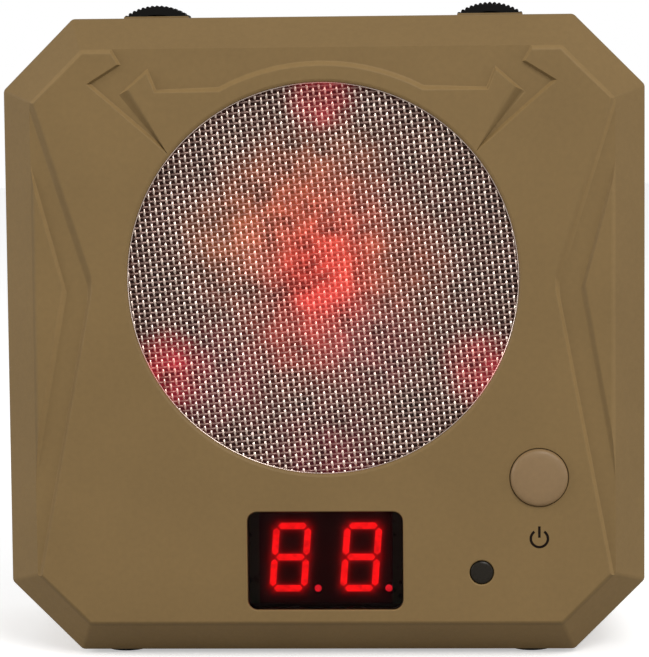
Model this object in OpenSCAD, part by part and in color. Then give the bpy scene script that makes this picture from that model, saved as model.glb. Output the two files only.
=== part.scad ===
// Electronic game caller: an octagonal box with a 3 inch loudspeaker behind a woven wire grille,
// a two-digit display, a power button and two thumbwheels on top. The front faces -Y.
// The origin is on the ground, midway between the sides and between the button's face and the back.

/* [Case] */
// Width of the case
case_w = 130; // [128:0.5:134]
// Height of the case, without its feet
case_h = 129.5; // [128.5:0.5:132]
// Depth from the front face to the middle of the part
face_depth = 31; // [31:0.5:33]
// Length of each corner's cut along the sides
corner_leg = 14.3; // [12:0.1:15]
// Width of the sloping border round the front face
bevel_w = 7.1; // [6:0.1:7.5]
// Depth of the sloping border
bevel_d = 8.5; // [7.5:0.1:9]
// Wall thickness of both case halves
wall = 2.4; // [2.2:0.1:2.6]
// Depth of the recessed channels in the front face
relief_d = 0.8; // [0.4:0.1:1]
// How far the feet hold the case off the ground
foot_h = 0.8; // [0.5:0.1:1]

/* [Loudspeaker] */
// Height of the loudspeaker's centre above the base of the case
speaker_z = 76.8; // [76.5:0.1:77.2]
// Radius of the opening in front of the grille
grille_r = 39.4; // [38.5:0.1:39.6]
// Distance from the loudspeaker's centre to its screws
speaker_screw_r = 46; // [45.5:0.1:46.5]

/* [Display] */
// Width of the display window
window_w = 31.5; // [30:0.1:32]
// Height of the display window
window_h = 20; // [19.5:0.1:20.4]
// Height of the window's centre above the base of the case
window_z = 19.75; // [19.5:0.05:20]
// Distance between the two digits
digit_pitch = 14.4; // [13.2:0.1:14.6]

/* [Controls] */
// Radius of the power button
button_r = 5.8; // [5:0.1:6.2]
// How far the power button stands proud of the face
button_proud = 1.2; // [0.8:0.1:1.4]
// Radius of each thumbwheel over its teeth
wheel_r = 11.3; // [11:0.1:11.4]
// Number of teeth on a thumbwheel
wheel_teeth = 72; // [48:2:90]
// Distance of each thumbwheel from the middle of the case
wheel_x = 34; // [33:0.5:35]

/* [Battery] */
// Diameter of a battery cell
cell_d = 18.4; // [18:0.1:18.6]
// Length of a battery cell without its raised contact
cell_len = 65; // [64:0.5:66]

/* [Hidden] */
$fn = 96;
eps = 0.01;

// depths along Y, front to back
face_y = -face_depth;
rear_y = face_depth + button_proud;
split_y = -8;
face_back = face_y + wall;
rear_wall = 2.6;
rear_in = rear_y - rear_wall;
side_x = case_w / 2;
// the stack behind the grille
rebate_y = face_y + relief_d + 0.4;
mesh_t = 1;
cloth_y = rebate_y + mesh_t;
cloth_t = 0.2;
ring_y = cloth_y + cloth_t;
ring_t = 1.5;
led_y = ring_y + ring_t;
led_board_t = 1.2;
well_y = led_y + led_board_t;
gasket_t = 2.5;
flange_y = well_y + gasket_t;
flange_t = 1.2;
well_r = grille_r + 1.8;
ring_r = grille_r - 0.8;
led_r = 36;
led_angles = [90, 210, 330];
basket_r = 42.3;
rear_ring_y = -10;
plate_y = -9;
magnet_y = -5;
back_plate_y = 4;
motor_end_y = 7;
pole_r = 9.4;
gap_r = 10.6;
coil_r = [9.75, 10.15];
// heights are measured from the base of the case and lifted by the feet
base_z = foot_h;
speaker_c = base_z + speaker_z;
window_c = base_z + window_z;
speaker_corners = [for (sx = [-1, 1], sz = [-1, 1])
    [sx * speaker_screw_r * cos(45), speaker_c + sz * speaker_screw_r * sin(45)]];
// front board, its screws and what it carries
front_board_y = -19.4;
board_t = 1.6;
board_post_r = 2.6;
pilot_r = 0.9;
board_hole_r = 1.2;
front_board_holes = [[-24.5, 12.5], [-24.5, 30], [51, 12.5], [51.5, 27.5]];
digit_size = [12.6, 8, 19];
digit_c = base_z + 20.05;
button_at = [43.2, base_z + 36.6];
plunger_y = -25.5;
plunger_r = 1.7;
ir_at = [31.6, base_z + 17.3];
ir_r = 2.4;
// thumbwheels and the board behind them
wheel_z = base_z + case_h + 2.8 - wheel_r;
wheel_y = [-17, -13];
pot_board_y = split_y;
pot_board_holes = [[0, 124], [-52, 112], [52, 112]];
shaft_r = 1.5;
// main board
main_board_y = 21;
main_board_holes = [[-44, 67], [34, 66], [-44, 117], [44, 117]];
usb_z = 89;
aux_z = 80;
card_z = 69;
jack_y = 18;
jack_r = 1.775;
nose_r = 2.5;
usb_y = jack_y + 1.4;
// screws that hold the case halves together
case_screw_at = [for (sx = [-1, 1], z = [36, 100]) [sx * 56, base_z + z]];
screw_seat_y = 2;
screw_tip_y = -18;
screw_r = 1.4;
screw_head_r = 2.8;
rib_half_t = 1;
// feet and the tripod socket in the base
foot_x = 42;
foot_y = [-16, 24];
foot_r = 4;
foot_sunk = 0.6;
insert_r = 4.9;
insert_h = 9.5;
thread_r = 3.175;
// battery bay and door
door_x = 40;
door_z = [base_z + 11.2, base_z + 57];
door_gap = 0.3;
hinge_r = 1.8;
pin_r = 0.9;
hinge_at = [rear_y - hinge_r, base_z + 13];
frame_y = 28.1;
tray_x = 37.6;
tray_z = [base_z + 17, base_z + 55];
tray_y = 9.6;
tray_wall = 1.4;
cell_z = [tray_z[1] - cell_d / 2 - 0.3, tray_z[0] + cell_d / 2 + 0.3];
cell_y = tray_y + cell_d / 2 + 0.3;
cell_shift = 2.6;
nub_h = 0.8;
plate_t = 0.4;

sand = [0.5, 0.41, 0.27];
board_green = [0.1, 0.33, 0.2];
steel = [0.7, 0.7, 0.68];
black = [0.08, 0.08, 0.08];

// ---- shared shapes ----

// a flat XZ outline given thickness from y0 to y1
module slab(y0, y1) {
    translate([0, y1, 0]) rotate([90, 0, 0]) linear_extrude(y1 - y0) children();
}

// a profile of [radius, y] turned about the loudspeaker's axis
module turned_speaker() {
    translate([0, 0, speaker_c]) rotate([-90, 0, 0]) rotate_extrude() children();
}

// a round bar along Y through the point at = [x, z]
module rod(at, r, y0, y1) {
    translate([at[0], y0, at[1]]) rotate([-90, 0, 0]) cylinder(r = r, h = y1 - y0);
}

module ring(at, r_out, r_in, y0, y1) {
    difference() {
        rod(at, r_out, y0, y1);
        rod(at, r_in, y0 - eps, y1 + eps);
    }
}

// a box between two corners
module block(low, high) {
    translate(low) cube(high - low);
}

// octagon of the case drawn in by t
module case_outline(t) {
    w = case_w / 2 - t;
    h0 = base_z + t;
    h1 = base_z + case_h - t;
    leg = corner_leg - t * (2 - sqrt(2));
    polygon([[-w + leg, h0], [w - leg, h0], [w, h0 + leg], [w, h1 - leg],
             [w - leg, h1], [-w + leg, h1], [-w, h1 - leg], [-w, h0 + leg]]);
}

// the wedge that cuts one sloping border; reach is how far that side stands from the middle
module border_wedge(reach, angle, w, d, y, t) {
    slant = t * sqrt(w * w + d * d) / abs(d);
    k = 0.3;
    translate([0, 0, base_z + case_h / 2]) rotate([0, angle, 0]) translate([0, 0, -case_w / 2])
        linear_extrude(case_w)
            polygon([[reach - slant - w * (1 + k), y - k * d],
                     [reach - slant + w * k, y + d * (1 + k)],
                     [reach + w * (1 + k), y + d * (1 + k)],
                     [reach + w * (1 + k), y - k * d]]);
}

// wedges on all eight sides
module border(w, d, y, t) {
    slope_reach = (case_w / 2 + case_h / 2 - corner_leg) / sqrt(2);
    for (i = [0:7]) {
        reach = i % 2 == 1 ? slope_reach : (i % 4 == 0 ? case_w / 2 : case_h / 2);
        border_wedge(reach, i * 45, w, d, y, t);
    }
}

// solid of the front half drawn in by t, starting at depth y0
module front_block(t, y0, y1) {
    difference() {
        slab(y0, y1) case_outline(t);
        border(bevel_w, bevel_d, face_y, t);
    }
}

module rounded_rect(w, h, r) {
    square([w - 2 * r, h], center = true);
    square([w, h - 2 * r], center = true);
    for (sx = [-1, 1], sz = [-1, 1])
        translate([sx * (w / 2 - r), sz * (h / 2 - r)]) circle(r = r, $fn = 48);
}

// ---- front half of the case ----

// recessed panel above the grille with a channel down to its rim, right half
module brow_outline() {
    arc_r = 43.2;
    arc_z = speaker_z - 0.7;
    arc_end = 28;
    polygon(concat(
        [[-eps, 125.5], [43.6, 125.5], [42.1, 122.2], [40.8, 120], [47.1, 116.1],
         [30.6, 101.7], [38.1, 115.2], [34.9, 118], [33.4, arc_z + arc_r * cos(arc_end)]],
        [for (a = [arc_end:-4:0]) [arc_r * sin(a), arc_z + arc_r * cos(a)]],
        [[-eps, arc_z + arc_r]]));
}

// bent channel beside the grille, right half
module side_channel_outline() {
    polygon([[58.4, 116], [46.4, 78], [46.4, 74.5], [58.2, 12.6], [62, 12.6], [62, 24.2],
             [52.7, 75.6], [62, 110.1], [62, 116]]);
}

module relief() {
    slab(face_y - 1, face_y + relief_d) translate([0, base_z]) for (side = [0, 1])
        mirror([side, 0]) {
            brow_outline();
            side_channel_outline();
        }
}

// low lip beside a wheel's slot, on top of the case
module wheel_lip(y0, y1) {
    half_w = 6.6;
    lip_h = 0.5;
    top_z = base_z + case_h;
    slab(y0, y1) polygon([[wheel_x - half_w, top_z - 1], [wheel_x + half_w, top_z - 1],
                          [wheel_x + half_w, top_z], [wheel_x + half_w - 0.2, top_z + lip_h],
                          [wheel_x - half_w + 0.2, top_z + lip_h], [wheel_x - half_w, top_z]]);
}

// rib that ties a screw post to the side wall
module side_rib(at, y0, y1) {
    reach = side_x - 1 - abs(at[0]);
    x0 = at[0] > 0 ? at[0] : at[0] - reach;
    block([x0, y0, at[1] - rib_half_t], [x0 + reach, y1, at[1] + rib_half_t]);
}

// posts inside the front half; they grow from the face
module front_posts() {
    for (at = speaker_corners) rod(at, 3.2, face_back - 0.5, flange_y);
    for (h = front_board_holes) rod([h[0], base_z + h[1]], board_post_r, face_back - 0.5, front_board_y);
    for (h = pot_board_holes) rod([h[0], base_z + h[1]], board_post_r, face_back - 0.5, pot_board_y);
    for (at = case_screw_at) {
        rod(at, 4.2, face_y + 5, split_y);
        side_rib(at, face_y + 5, split_y);
    }
    ring([0, speaker_c], well_r + 2, well_r, face_back - 0.5, well_y);
}

module front_shell() {
    color(sand) difference() {
        union() {
            difference() {
                front_block(0, face_y, split_y);
                front_block(wall, face_back, split_y + 1);
            }
            intersection() {
                front_block(0.5, face_y + 0.5, split_y);
                front_posts();
            }
            for (side = [0, 1]) mirror([side, 0, 0]) {
                wheel_lip(wheel_y[0] - 1.8, wheel_y[0] - 0.4);
                wheel_lip(wheel_y[1] + 0.4, wheel_y[1] + 1.8);
            }
        }
        relief();
        // grille opening with its small outer chamfer and the rebate for the mesh
        turned_speaker() polygon([[0, face_y - 1], [grille_r + 1.5, face_y - 1], [grille_r, face_y + 0.5],
                                  [grille_r, rebate_y], [well_r, rebate_y], [well_r, face_back + 1],
                                  [0, face_back + 1]]);
        slab(face_y - 1, face_back + 1) translate([0, window_c]) rounded_rect(window_w, window_h, 2);
        rod(button_at, button_r + 0.3, face_y - 1, face_back + 1);
        rod(ir_at, ir_r + 0.05, face_y - 1, face_back + 1);
        for (x = [-wheel_x, wheel_x])
            rod([x, wheel_z], wheel_r + 0.4, wheel_y[0] - 0.4, wheel_y[1] + 0.4);
        for (at = speaker_corners) rod(at, pilot_r, flange_y - 4, flange_y + 1);
        for (h = front_board_holes)
            rod([h[0], base_z + h[1]], pilot_r, front_board_y - 5, front_board_y + 1);
        for (h = pot_board_holes)
            rod([h[0], base_z + h[1]], pilot_r, pot_board_y - 5, pot_board_y + 1);
        for (at = case_screw_at) rod(at, screw_r, screw_tip_y - 0.5, split_y + 1);
        feet([foot_y[0]], base_z - 1);
    }
}

// ---- rear half of the case ----

// round feet, or the pockets they are glued in
module feet(depths, bottom) {
    for (x = [-foot_x, foot_x], y = depths)
        translate([x, y, bottom]) cylinder(r = foot_r, h = base_z + foot_sunk - bottom);
}

module door_opening(gap) {
    block([-door_x - gap, frame_y - 1, door_z[0] - gap], [door_x + gap, rear_y + 1, door_z[1] + gap]);
}

module rear_shell() {
    frame_edge = 3;
    color(sand) difference() {
        union() {
            difference() {
                slab(split_y, rear_y) case_outline(0);
                slab(split_y - 1, rear_in) case_outline(wall);
            }
            // picture frame that the battery tray is fixed to
            block([-door_x - frame_edge, frame_y, door_z[0] - frame_edge],
                  [door_x + frame_edge, rear_in + eps, door_z[1] + frame_edge]);
            for (at = case_screw_at) {
                rod(at, 5, split_y, rear_in + eps);
                side_rib(at, split_y, rear_in);
            }
            for (h = main_board_holes)
                rod([h[0], base_z + h[1]], 2.8, main_board_y + board_t, rear_in + eps);
            translate([0, 0, base_z + 1]) cylinder(r = insert_r + 2.1, h = insert_h + 1);
        }
        border(3, -3, rear_y, 0);
        door_opening(door_gap);
        // finger notch over the door, and a shallow plain panel above it
        block([-7.5, rear_y - 1.9, door_z[1]], [7.5, rear_y + 1, door_z[1] + 3.2]);
        slab(rear_y - 0.6, rear_y + 1) translate([0, base_z + 92]) rounded_rect(72, 44, 4);
        for (at = case_screw_at) {
            rod(at, screw_head_r + 0.6, screw_seat_y, rear_y + 1);
            rod(at, 1.7, split_y - 1, screw_seat_y + eps);
        }
        for (h = main_board_holes)
            rod([h[0], base_z + h[1]], pilot_r, main_board_y + board_t - 1, rear_in - 1);
        translate([0, 0, base_z - 1]) cylinder(r = insert_r, h = insert_h + 1);
        translate([-door_x - 2.5, hinge_at[0], hinge_at[1]]) rotate([0, 90, 0])
            cylinder(r = pin_r, h = 2 * door_x + 5);
        gasket_ring(eps);
        // sockets in the right-hand side
        translate([side_x - 5, usb_y, base_z + usb_z]) rotate([90, 0, 90]) linear_extrude(6)
            rounded_rect(3.8, 9.6, 1.89);
        block([side_x - 5, 18.8, base_z + card_z - 6.3], [side_x + 1, 21.2, base_z + card_z + 6.3]);
        translate([side_x - 5, jack_y, base_z + aux_z]) rotate([0, 90, 0])
            cylinder(r = nose_r + 0.3, h = 6);
        feet([foot_y[1]], base_z - 1);
    }
}

// square cord round the joint between the halves; above is how far it starts before the joint
module gasket_ring(above) {
    slab(split_y - above, split_y + 1.4) difference() {
        case_outline(0.8);
        case_outline(1.7);
    }
}

module case_gasket() {
    color(black) gasket_ring(0);
}

module case_screws() {
    color(steel) for (at = case_screw_at) difference() {
        union() {
            rod(at, screw_r, screw_tip_y, screw_seat_y);
            rod(at, screw_head_r, screw_seat_y, screw_seat_y + 2);
        }
        for (turn = [0, 90]) translate([at[0], screw_seat_y + 2, at[1]]) rotate([0, turn, 0])
            cube([3.2, 2, 0.7], center = true);
    }
}

module rubber_feet() {
    color(black) feet(foot_y, 0);
}

module tripod_insert() {
    color("goldenrod") translate([0, 0, base_z]) difference() {
        cylinder(r = insert_r, h = insert_h);
        translate([0, 0, -1]) cylinder(r = thread_r, h = insert_h + 0.5);
    }
}

// ---- grille and its lights ----

module grille_mesh() {
    color(steel) rod([0, speaker_c], well_r - 0.1, rebate_y, cloth_y);
}

module dust_cloth() {
    color([0.4, 0.3, 0.28]) rod([0, speaker_c], well_r - 0.1, cloth_y, ring_y);
}

module grille_ring() {
    color(black) ring([0, speaker_c], well_r, ring_r, ring_y, led_y);
}

module led_board() {
    color(board_green) {
        ring([0, speaker_c], well_r, led_r + 1, led_y, well_y);
        for (a = led_angles) translate([0, 0, speaker_c]) rotate([0, -a, 0])
            block([led_r - 2.4, led_y, -2.5], [led_r + 2, well_y, 2.5]);
    }
}

module rim_leds() {
    color("red") for (a = led_angles) translate([0, 0, speaker_c]) rotate([0, -a, 0])
        block([led_r - 1.4, led_y - 1.1, -1.75], [led_r + 1.4, led_y, 1.75]);
}

// ---- loudspeaker ----

module speaker_gasket() {
    color([0.2, 0.2, 0.2]) ring([0, speaker_c], basket_r, 37.2, well_y, flange_y);
}

module speaker_basket() {
    color([0.25, 0.25, 0.26]) difference() {
        union() {
            turned_speaker() polygon([
                [34.5, flange_y], [basket_r, flange_y], [basket_r, flange_y + flange_t],
                [37.4, flange_y + flange_t], [29.5, plate_y], [13, plate_y], [13, rear_ring_y],
                [20, rear_ring_y], [20, rear_ring_y - 1.2], [22.6, rear_ring_y - 1.2],
                [22.6, rear_ring_y], [28.6, rear_ring_y], [36.1, flange_y + flange_t],
                [34.5, flange_y + flange_t]]);
            for (at = speaker_corners) rod(at, 4.2, flange_y, flange_y + flange_t);
        }
        for (at = speaker_corners) rod(at, 1.6, flange_y - 1, flange_y + flange_t + 1);
        // six windows in the frame
        for (a = [30:60:330]) translate([0, 0, speaker_c]) rotate([0, a, 0])
            block([25, -20.4, -9], [45, -12.4, 9]);
    }
}

module speaker_surround() {
    roll = 32.8;
    color([0.07, 0.07, 0.07]) turned_speaker() {
        polygon([[roll + 1.5, flange_y - 0.6], [37.1, flange_y - 0.6], [37.1, flange_y],
                 [roll + 1.5, flange_y]]);
        difference() {
            translate([roll, flange_y]) circle(r = 1.8, $fn = 48);
            translate([roll, flange_y]) circle(r = 1.3, $fn = 48);
            translate([roll - 5, flange_y]) square(10);
        }
    }
}

// slope of the cone and a point on its front surface
cone_in = [10.15, -14];
cone_out = [30.5, -24.4];
cone_slope = (cone_out[1] - cone_in[1]) / (cone_out[0] - cone_in[0]);
cone_t = 0.5;
function cone_front(r) = cone_in[1] - cone_t + cone_slope * (r - cone_in[0]);

module speaker_cone() {
    color([0.13, 0.13, 0.14]) turned_speaker()
        polygon([[cone_in[0], cone_in[1]], [cone_out[0], cone_out[1]],
                 [cone_out[0], cone_out[1] - cone_t], [cone_in[0], cone_in[1] - cone_t]]);
}

module dust_cap() {
    rim = 13;
    rise = 3.6;
    ball = (rim * rim + rise * rise) / (2 * rise);
    edge_y = cone_front(rim);
    steps = 12;
    sweep = asin(rim / ball);
    color([0.16, 0.16, 0.17]) turned_speaker() polygon(concat(
        [for (i = [0:steps]) let (a = sweep * i / steps)
            [ball * sin(a), edge_y - rise + ball * (1 - cos(a))]],
        [[rim - 0.8, cone_front(rim - 0.8)]],
        [for (i = [steps - 2:-1:0]) let (a = sweep * i / steps)
            [(ball - 0.4) * sin(a), edge_y - rise + ball - (ball - 0.4) * cos(a)]]));
}

module spider() {
    waves = 3;
    y = rear_ring_y - 1.2;
    inner = 10.5;
    outer = 22.6;
    points = 24;
    color([0.75, 0.6, 0.3]) turned_speaker() polygon(concat(
        [for (i = [0:points]) let (s = i / points)
            [inner + (outer - inner) * s, y - 0.9 + 0.4 * cos(360 * waves * s)]],
        [for (i = [points:-1:0]) let (s = i / points)
            [inner + (outer - inner) * s, y - 0.5 + 0.4 * cos(360 * waves * s)]]));
}

module voice_coil() {
    color("peru") ring([0, speaker_c], coil_r[1], coil_r[0], -15, -3.5);
}

module top_plate() {
    color(steel) ring([0, speaker_c], 27, gap_r, plate_y, magnet_y);
}

module magnet() {
    color([0.2, 0.2, 0.2]) ring([0, speaker_c], 30, 15, magnet_y, back_plate_y);
}

module back_plate() {
    color(steel) turned_speaker() polygon([[0, plate_y - 0.5], [pole_r, plate_y - 0.5],
        [pole_r, back_plate_y], [27, back_plate_y], [27, motor_end_y], [0, motor_end_y]]);
}

module speaker_screws() {
    seat = flange_y + flange_t;
    color(steel) for (at = speaker_corners) {
        rod(at, 0.9, flange_y - 3.5, seat);
        difference() {
            rod(at, 2.4, seat, seat + 1.4);
            for (turn = [0, 90]) translate([at[0], seat + 1.4, at[1]]) rotate([0, turn, 0])
                cube([2.6, 1.4, 0.6], center = true);
        }
    }
}

module speaker_leads() {
    color("firebrick") for (z = [66, 69])
        rod([-38.5, base_z + z], 0.6, flange_y + flange_t, main_board_y);
}

// ---- display and front board ----

module display_window() {
    color([0.03, 0.02, 0.02]) {
        slab(face_y + 0.1, face_back) translate([0, window_c])
            rounded_rect(window_w - 0.2, window_h - 0.2, 1.9);
        slab(face_back, face_back + 1) translate([0, window_c])
            rounded_rect(window_w + 3, window_h + 2.6, 2);
    }
}

// one digit's grey housing with its seven segment wells and point
module digit_module(side) {
    x = side * digit_pitch / 2;
    y0 = front_board_y - digit_size[1];
    seg_w = 1.4;
    half_w = 3.2;
    half_h = 6.4;
    well = 0.4;
    lean = tan(4.4);
    color([0.2, 0.2, 0.2]) difference() {
        block([x - digit_size[0] / 2, y0, digit_c - digit_size[2] / 2],
              [x + digit_size[0] / 2, front_board_y, digit_c + digit_size[2] / 2]);
        slab(y0 - 1, y0 + well) translate([x, digit_c]) {
            for (row = [-1, 0, 1]) translate([row * half_h * lean, row * half_h])
                square([2 * half_w - seg_w, seg_w], center = true);
            for (sx = [-1, 1], row = [-1, 1])
                translate([sx * half_w + row * half_h / 2 * lean, row * half_h / 2])
                    square([seg_w, half_h - seg_w], center = true);
            translate([5.6, -half_h]) circle(r = 0.75);
        }
    }
}

module digit_module_left() {
    digit_module(-1);
}

module digit_module_right() {
    digit_module(1);
}

module front_board() {
    color(board_green) difference() {
        slab(front_board_y, front_board_y + board_t) translate([0, base_z])
            polygon([[-28, 9], [54.5, 9], [54.5, 30.8], [50, 33.5], [50, 44], [37, 44], [37, 33.5],
                     [-28, 33.5]]);
        for (h = front_board_holes)
            rod([h[0], base_z + h[1]], board_hole_r, front_board_y - 1, front_board_y + board_t + 1);
    }
}

module ir_window() {
    color([0.1, 0.05, 0.05]) {
        rod(ir_at, ir_r, face_y, face_back);
        rod(ir_at, ir_r + 1, face_back, face_back + 0.8);
    }
}

module ir_receiver() {
    color([0.1, 0.08, 0.08]) {
        block([ir_at[0] - 3, front_board_y - 4.6, ir_at[1] - 3.5],
              [ir_at[0] + 3, front_board_y, ir_at[1] + 3.5]);
        rod(ir_at, 2.2, front_board_y - 6.6, front_board_y - 4.6);
    }
}

module power_button() {
    color([0.54, 0.44, 0.31]) {
        rod(button_at, button_r, face_y - button_proud, face_back);
        rod(button_at, button_r + 1.2, face_back, face_back + 1.2);
        rod(button_at, 2, face_back + 1.2, plunger_y);
    }
}

module switch_plunger() {
    color(black) rod(button_at, plunger_r, plunger_y, plunger_y + 2.9);
}

module power_switch() {
    front = -23.4;
    color([0.3, 0.3, 0.3]) difference() {
        block([button_at[0] - 3, front, button_at[1] - 3],
              [button_at[0] + 3, front_board_y, button_at[1] + 3]);
        rod(button_at, plunger_r + 0.1, front - 1, front + 2.3);
    }
}

// ---- thumbwheels ----

// outline with pointed teeth
module toothed(r, teeth, depth) {
    polygon([for (i = [0:2 * teeth - 1]) let (a = 180 * i / teeth, k = i % 2 == 0 ? r : r - depth)
        [k * cos(a), k * sin(a)]]);
}

module thumbwheel(x) {
    color(black) difference() {
        slab(wheel_y[0], wheel_y[1]) translate([x, wheel_z]) toothed(wheel_r, wheel_teeth, 0.35);
        rod([x, wheel_z], shaft_r, wheel_y[0] - 1, wheel_y[1] + 1);
        // dished front face
        difference() {
            rod([x, wheel_z], 9, wheel_y[0] - 1, wheel_y[0] + 0.8);
            rod([x, wheel_z], 3.4, wheel_y[0] - 1, wheel_y[0] + 1);
        }
    }
}

module pot_shaft(x) {
    color(steel) difference() {
        rod([x, wheel_z], shaft_r, wheel_y[0], pot_board_y - 1);
        rod([x, wheel_z], 0.6, wheel_y[0] - 1, wheel_y[0] + 4);
    }
}

module wheel_screw(x) {
    color(steel) {
        rod([x, wheel_z], 0.6, wheel_y[0], wheel_y[0] + 3.8);
        difference() {
            rod([x, wheel_z], 2.4, wheel_y[0] - 1, wheel_y[0]);
            for (turn = [0, 90]) translate([x, wheel_y[0] - 1, wheel_z]) rotate([0, turn, 0])
                cube([2.6, 1, 0.6], center = true);
        }
    }
}

module pot_body(x) {
    front = wheel_y[1] + 0.6;
    color([0.15, 0.2, 0.35]) difference() {
        union() {
            block([x - 5, front + 0.8, wheel_z - 6], [x + 5, pot_board_y, wheel_z + 5]);
            rod([x, wheel_z], 3, front, front + 0.8);
        }
        rod([x, wheel_z], shaft_r + 0.05, front - 1, pot_board_y - 0.7);
    }
}

module volume_wheel() {
    thumbwheel(-wheel_x);
}

module volume_shaft() {
    pot_shaft(-wheel_x);
}

module volume_wheel_screw() {
    wheel_screw(-wheel_x);
}

module volume_pot() {
    pot_body(-wheel_x);
}

module tone_wheel() {
    thumbwheel(wheel_x);
}

module tone_shaft() {
    pot_shaft(wheel_x);
}

module tone_wheel_screw() {
    wheel_screw(wheel_x);
}

module tone_pot() {
    pot_body(wheel_x);
}

module pot_board() {
    color(board_green) difference() {
        slab(pot_board_y, pot_board_y + board_t) translate([0, base_z])
            polygon([[-55, 109], [55, 109], [55, 119.5], [48.7, 126], [-48.7, 126], [-55, 119.5]]);
        for (h = pot_board_holes)
            rod([h[0], base_z + h[1]], board_hole_r, pot_board_y - 1, pot_board_y + board_t + 1);
    }
}

// ---- main board and what stands on it ----

module main_board() {
    color(board_green) difference() {
        slab(main_board_y, main_board_y + board_t) translate([0, base_z]) {
            translate([-49, 62]) square([98, 60]);
            translate([48, 62]) square([side_x - 51.5, 32]);
        }
        for (h = main_board_holes)
            rod([h[0], base_z + h[1]], board_hole_r, main_board_y - 1, main_board_y + board_t + 1);
    }
}

// pan-head screw whose head faces the front (dir -1) or the back (dir 1)
module small_screw(at, seat, dir) {
    head = seat + dir * 1.2;
    tip = seat - dir * 5.5;
    rod(at, 0.9, min(seat, tip), max(seat, tip));
    difference() {
        rod(at, 2, min(seat, head), max(seat, head));
        for (turn = [0, 90]) translate([at[0], head, at[1]]) rotate([0, turn, 0])
            cube([2.2, 1.2, 0.5], center = true);
    }
}

module board_screws() {
    color(steel) {
        for (h = front_board_holes) small_screw([h[0], base_z + h[1]], front_board_y + board_t, 1);
        for (h = pot_board_holes) small_screw([h[0], base_z + h[1]], pot_board_y + board_t, 1);
        for (h = main_board_holes) small_screw([h[0], base_z + h[1]], main_board_y, -1);
    }
}

// a chip lying on the front of the main board
module chip(at, size, t) {
    block([at[0] - size / 2, main_board_y - t, base_z + at[1] - size / 2],
          [at[0] + size / 2, main_board_y, base_z + at[1] + size / 2]);
}

module amplifier_chip() {
    color(black) chip([14, 104], 8, 1.5);
}

module processor_chip() {
    color(black) chip([-16, 84], 11, 1.3);
}

module heatsink() {
    back = main_board_y - 1.5;
    color(steel) {
        block([4, back - 1.5, base_z + 95], [24, back, base_z + 113]);
        for (i = [0:5])
            block([4.2 + 3.7 * i, back - 6, base_z + 95], [5.3 + 3.7 * i, back - 1.5, base_z + 113]);
    }
}

module capacitors() {
    color([0.12, 0.15, 0.4]) for (z = [94, 106])
        rod([-30, base_z + z], 4, main_board_y - 9.5, main_board_y);
}

module usb_socket() {
    x1 = side_x - 0.6;
    z = base_z + usb_z;
    color(steel) difference() {
        translate([x1 - 8, usb_y, z]) rotate([90, 0, 90]) linear_extrude(8) rounded_rect(3.2, 9, 1.55);
        translate([x1 - 6.5, usb_y, z]) rotate([90, 0, 90]) linear_extrude(8) rounded_rect(2.6, 8.4, 1.25);
    }
    // the tongue inside
    color(black) block([x1 - 6.6, usb_y - 0.35, z - 3.3], [x1 - 1, usb_y + 0.35, z + 3.3]);
}

module card_socket() {
    x0 = side_x - 15.5;
    z0 = base_z + card_z - 7;
    color(steel) difference() {
        block([x0, 19, z0], [side_x - 2.6, main_board_y, z0 + 14]);
        block([x0 + 1, 19.5, z0 + 1.2], [side_x, 20.6, z0 + 12.8]);
    }
}

module aux_socket() {
    x0 = side_x - 15.5;
    nose_x = side_x - 3.2;
    z = base_z + aux_z;
    color(black) difference() {
        union() {
            block([x0, jack_y - 3, z - 3], [nose_x, jack_y + 3, z + 3]);
            translate([nose_x, jack_y, z]) rotate([0, 90, 0]) cylinder(r = nose_r, h = 2.8);
        }
        translate([x0 + 2, jack_y, z]) rotate([0, 90, 0]) cylinder(r = jack_r, h = 14);
    }
}

// flat cable from the front board to the main board
module ribbon_cable() {
    y0 = front_board_y + board_t;
    t = 0.6;
    color([0.8, 0.8, 0.8]) translate([44.6, 0, base_z]) rotate([90, 0, 90]) linear_extrude(4.8)
        polygon([[y0, 20], [y0, 22.2], [y0 + 9, 22.2], [18, 58.4], [main_board_y - t, 62.5],
                 [main_board_y - t, 70], [main_board_y, 70], [main_board_y, 62.2],
                 [18.6, 58.2], [y0 + 9.3, 21.6], [y0 + t, 21.6], [y0 + t, 20]]);
}

// ---- battery bay ----

module battery_tray() {
    lip = 3.5;
    color([0.15, 0.15, 0.15]) difference() {
        union() {
            block([-tray_x - tray_wall, tray_y - tray_wall, tray_z[0] - tray_wall],
                  [tray_x + tray_wall, frame_y, tray_z[1] + tray_wall]);
            block([-tray_x - tray_wall - lip, frame_y - 1, door_z[0] - 2],
                  [tray_x + tray_wall + lip, frame_y, door_z[1] + 2.5]);
        }
        block([-tray_x, tray_y, tray_z[0]], [tray_x, frame_y + 1, tray_z[1]]);
    }
}

// one cell along X; end is the side that its raised contact points to
module cell(z, end) {
    x0 = end > 0 ? cell_shift - cell_len / 2 : -cell_shift - cell_len / 2;
    nub_x = end > 0 ? x0 + cell_len : x0 - nub_h;
    translate([x0, cell_y, z]) rotate([0, 90, 0]) cylinder(r = cell_d / 2, h = cell_len);
    translate([nub_x, cell_y, z]) rotate([0, 90, 0]) cylinder(r = 3.2, h = nub_h);
}

module battery_cell_upper() {
    color([0.2, 0.35, 0.6]) cell(cell_z[0], 1);
}

module battery_cell_lower() {
    color([0.2, 0.35, 0.6]) cell(cell_z[1], -1);
}

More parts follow.
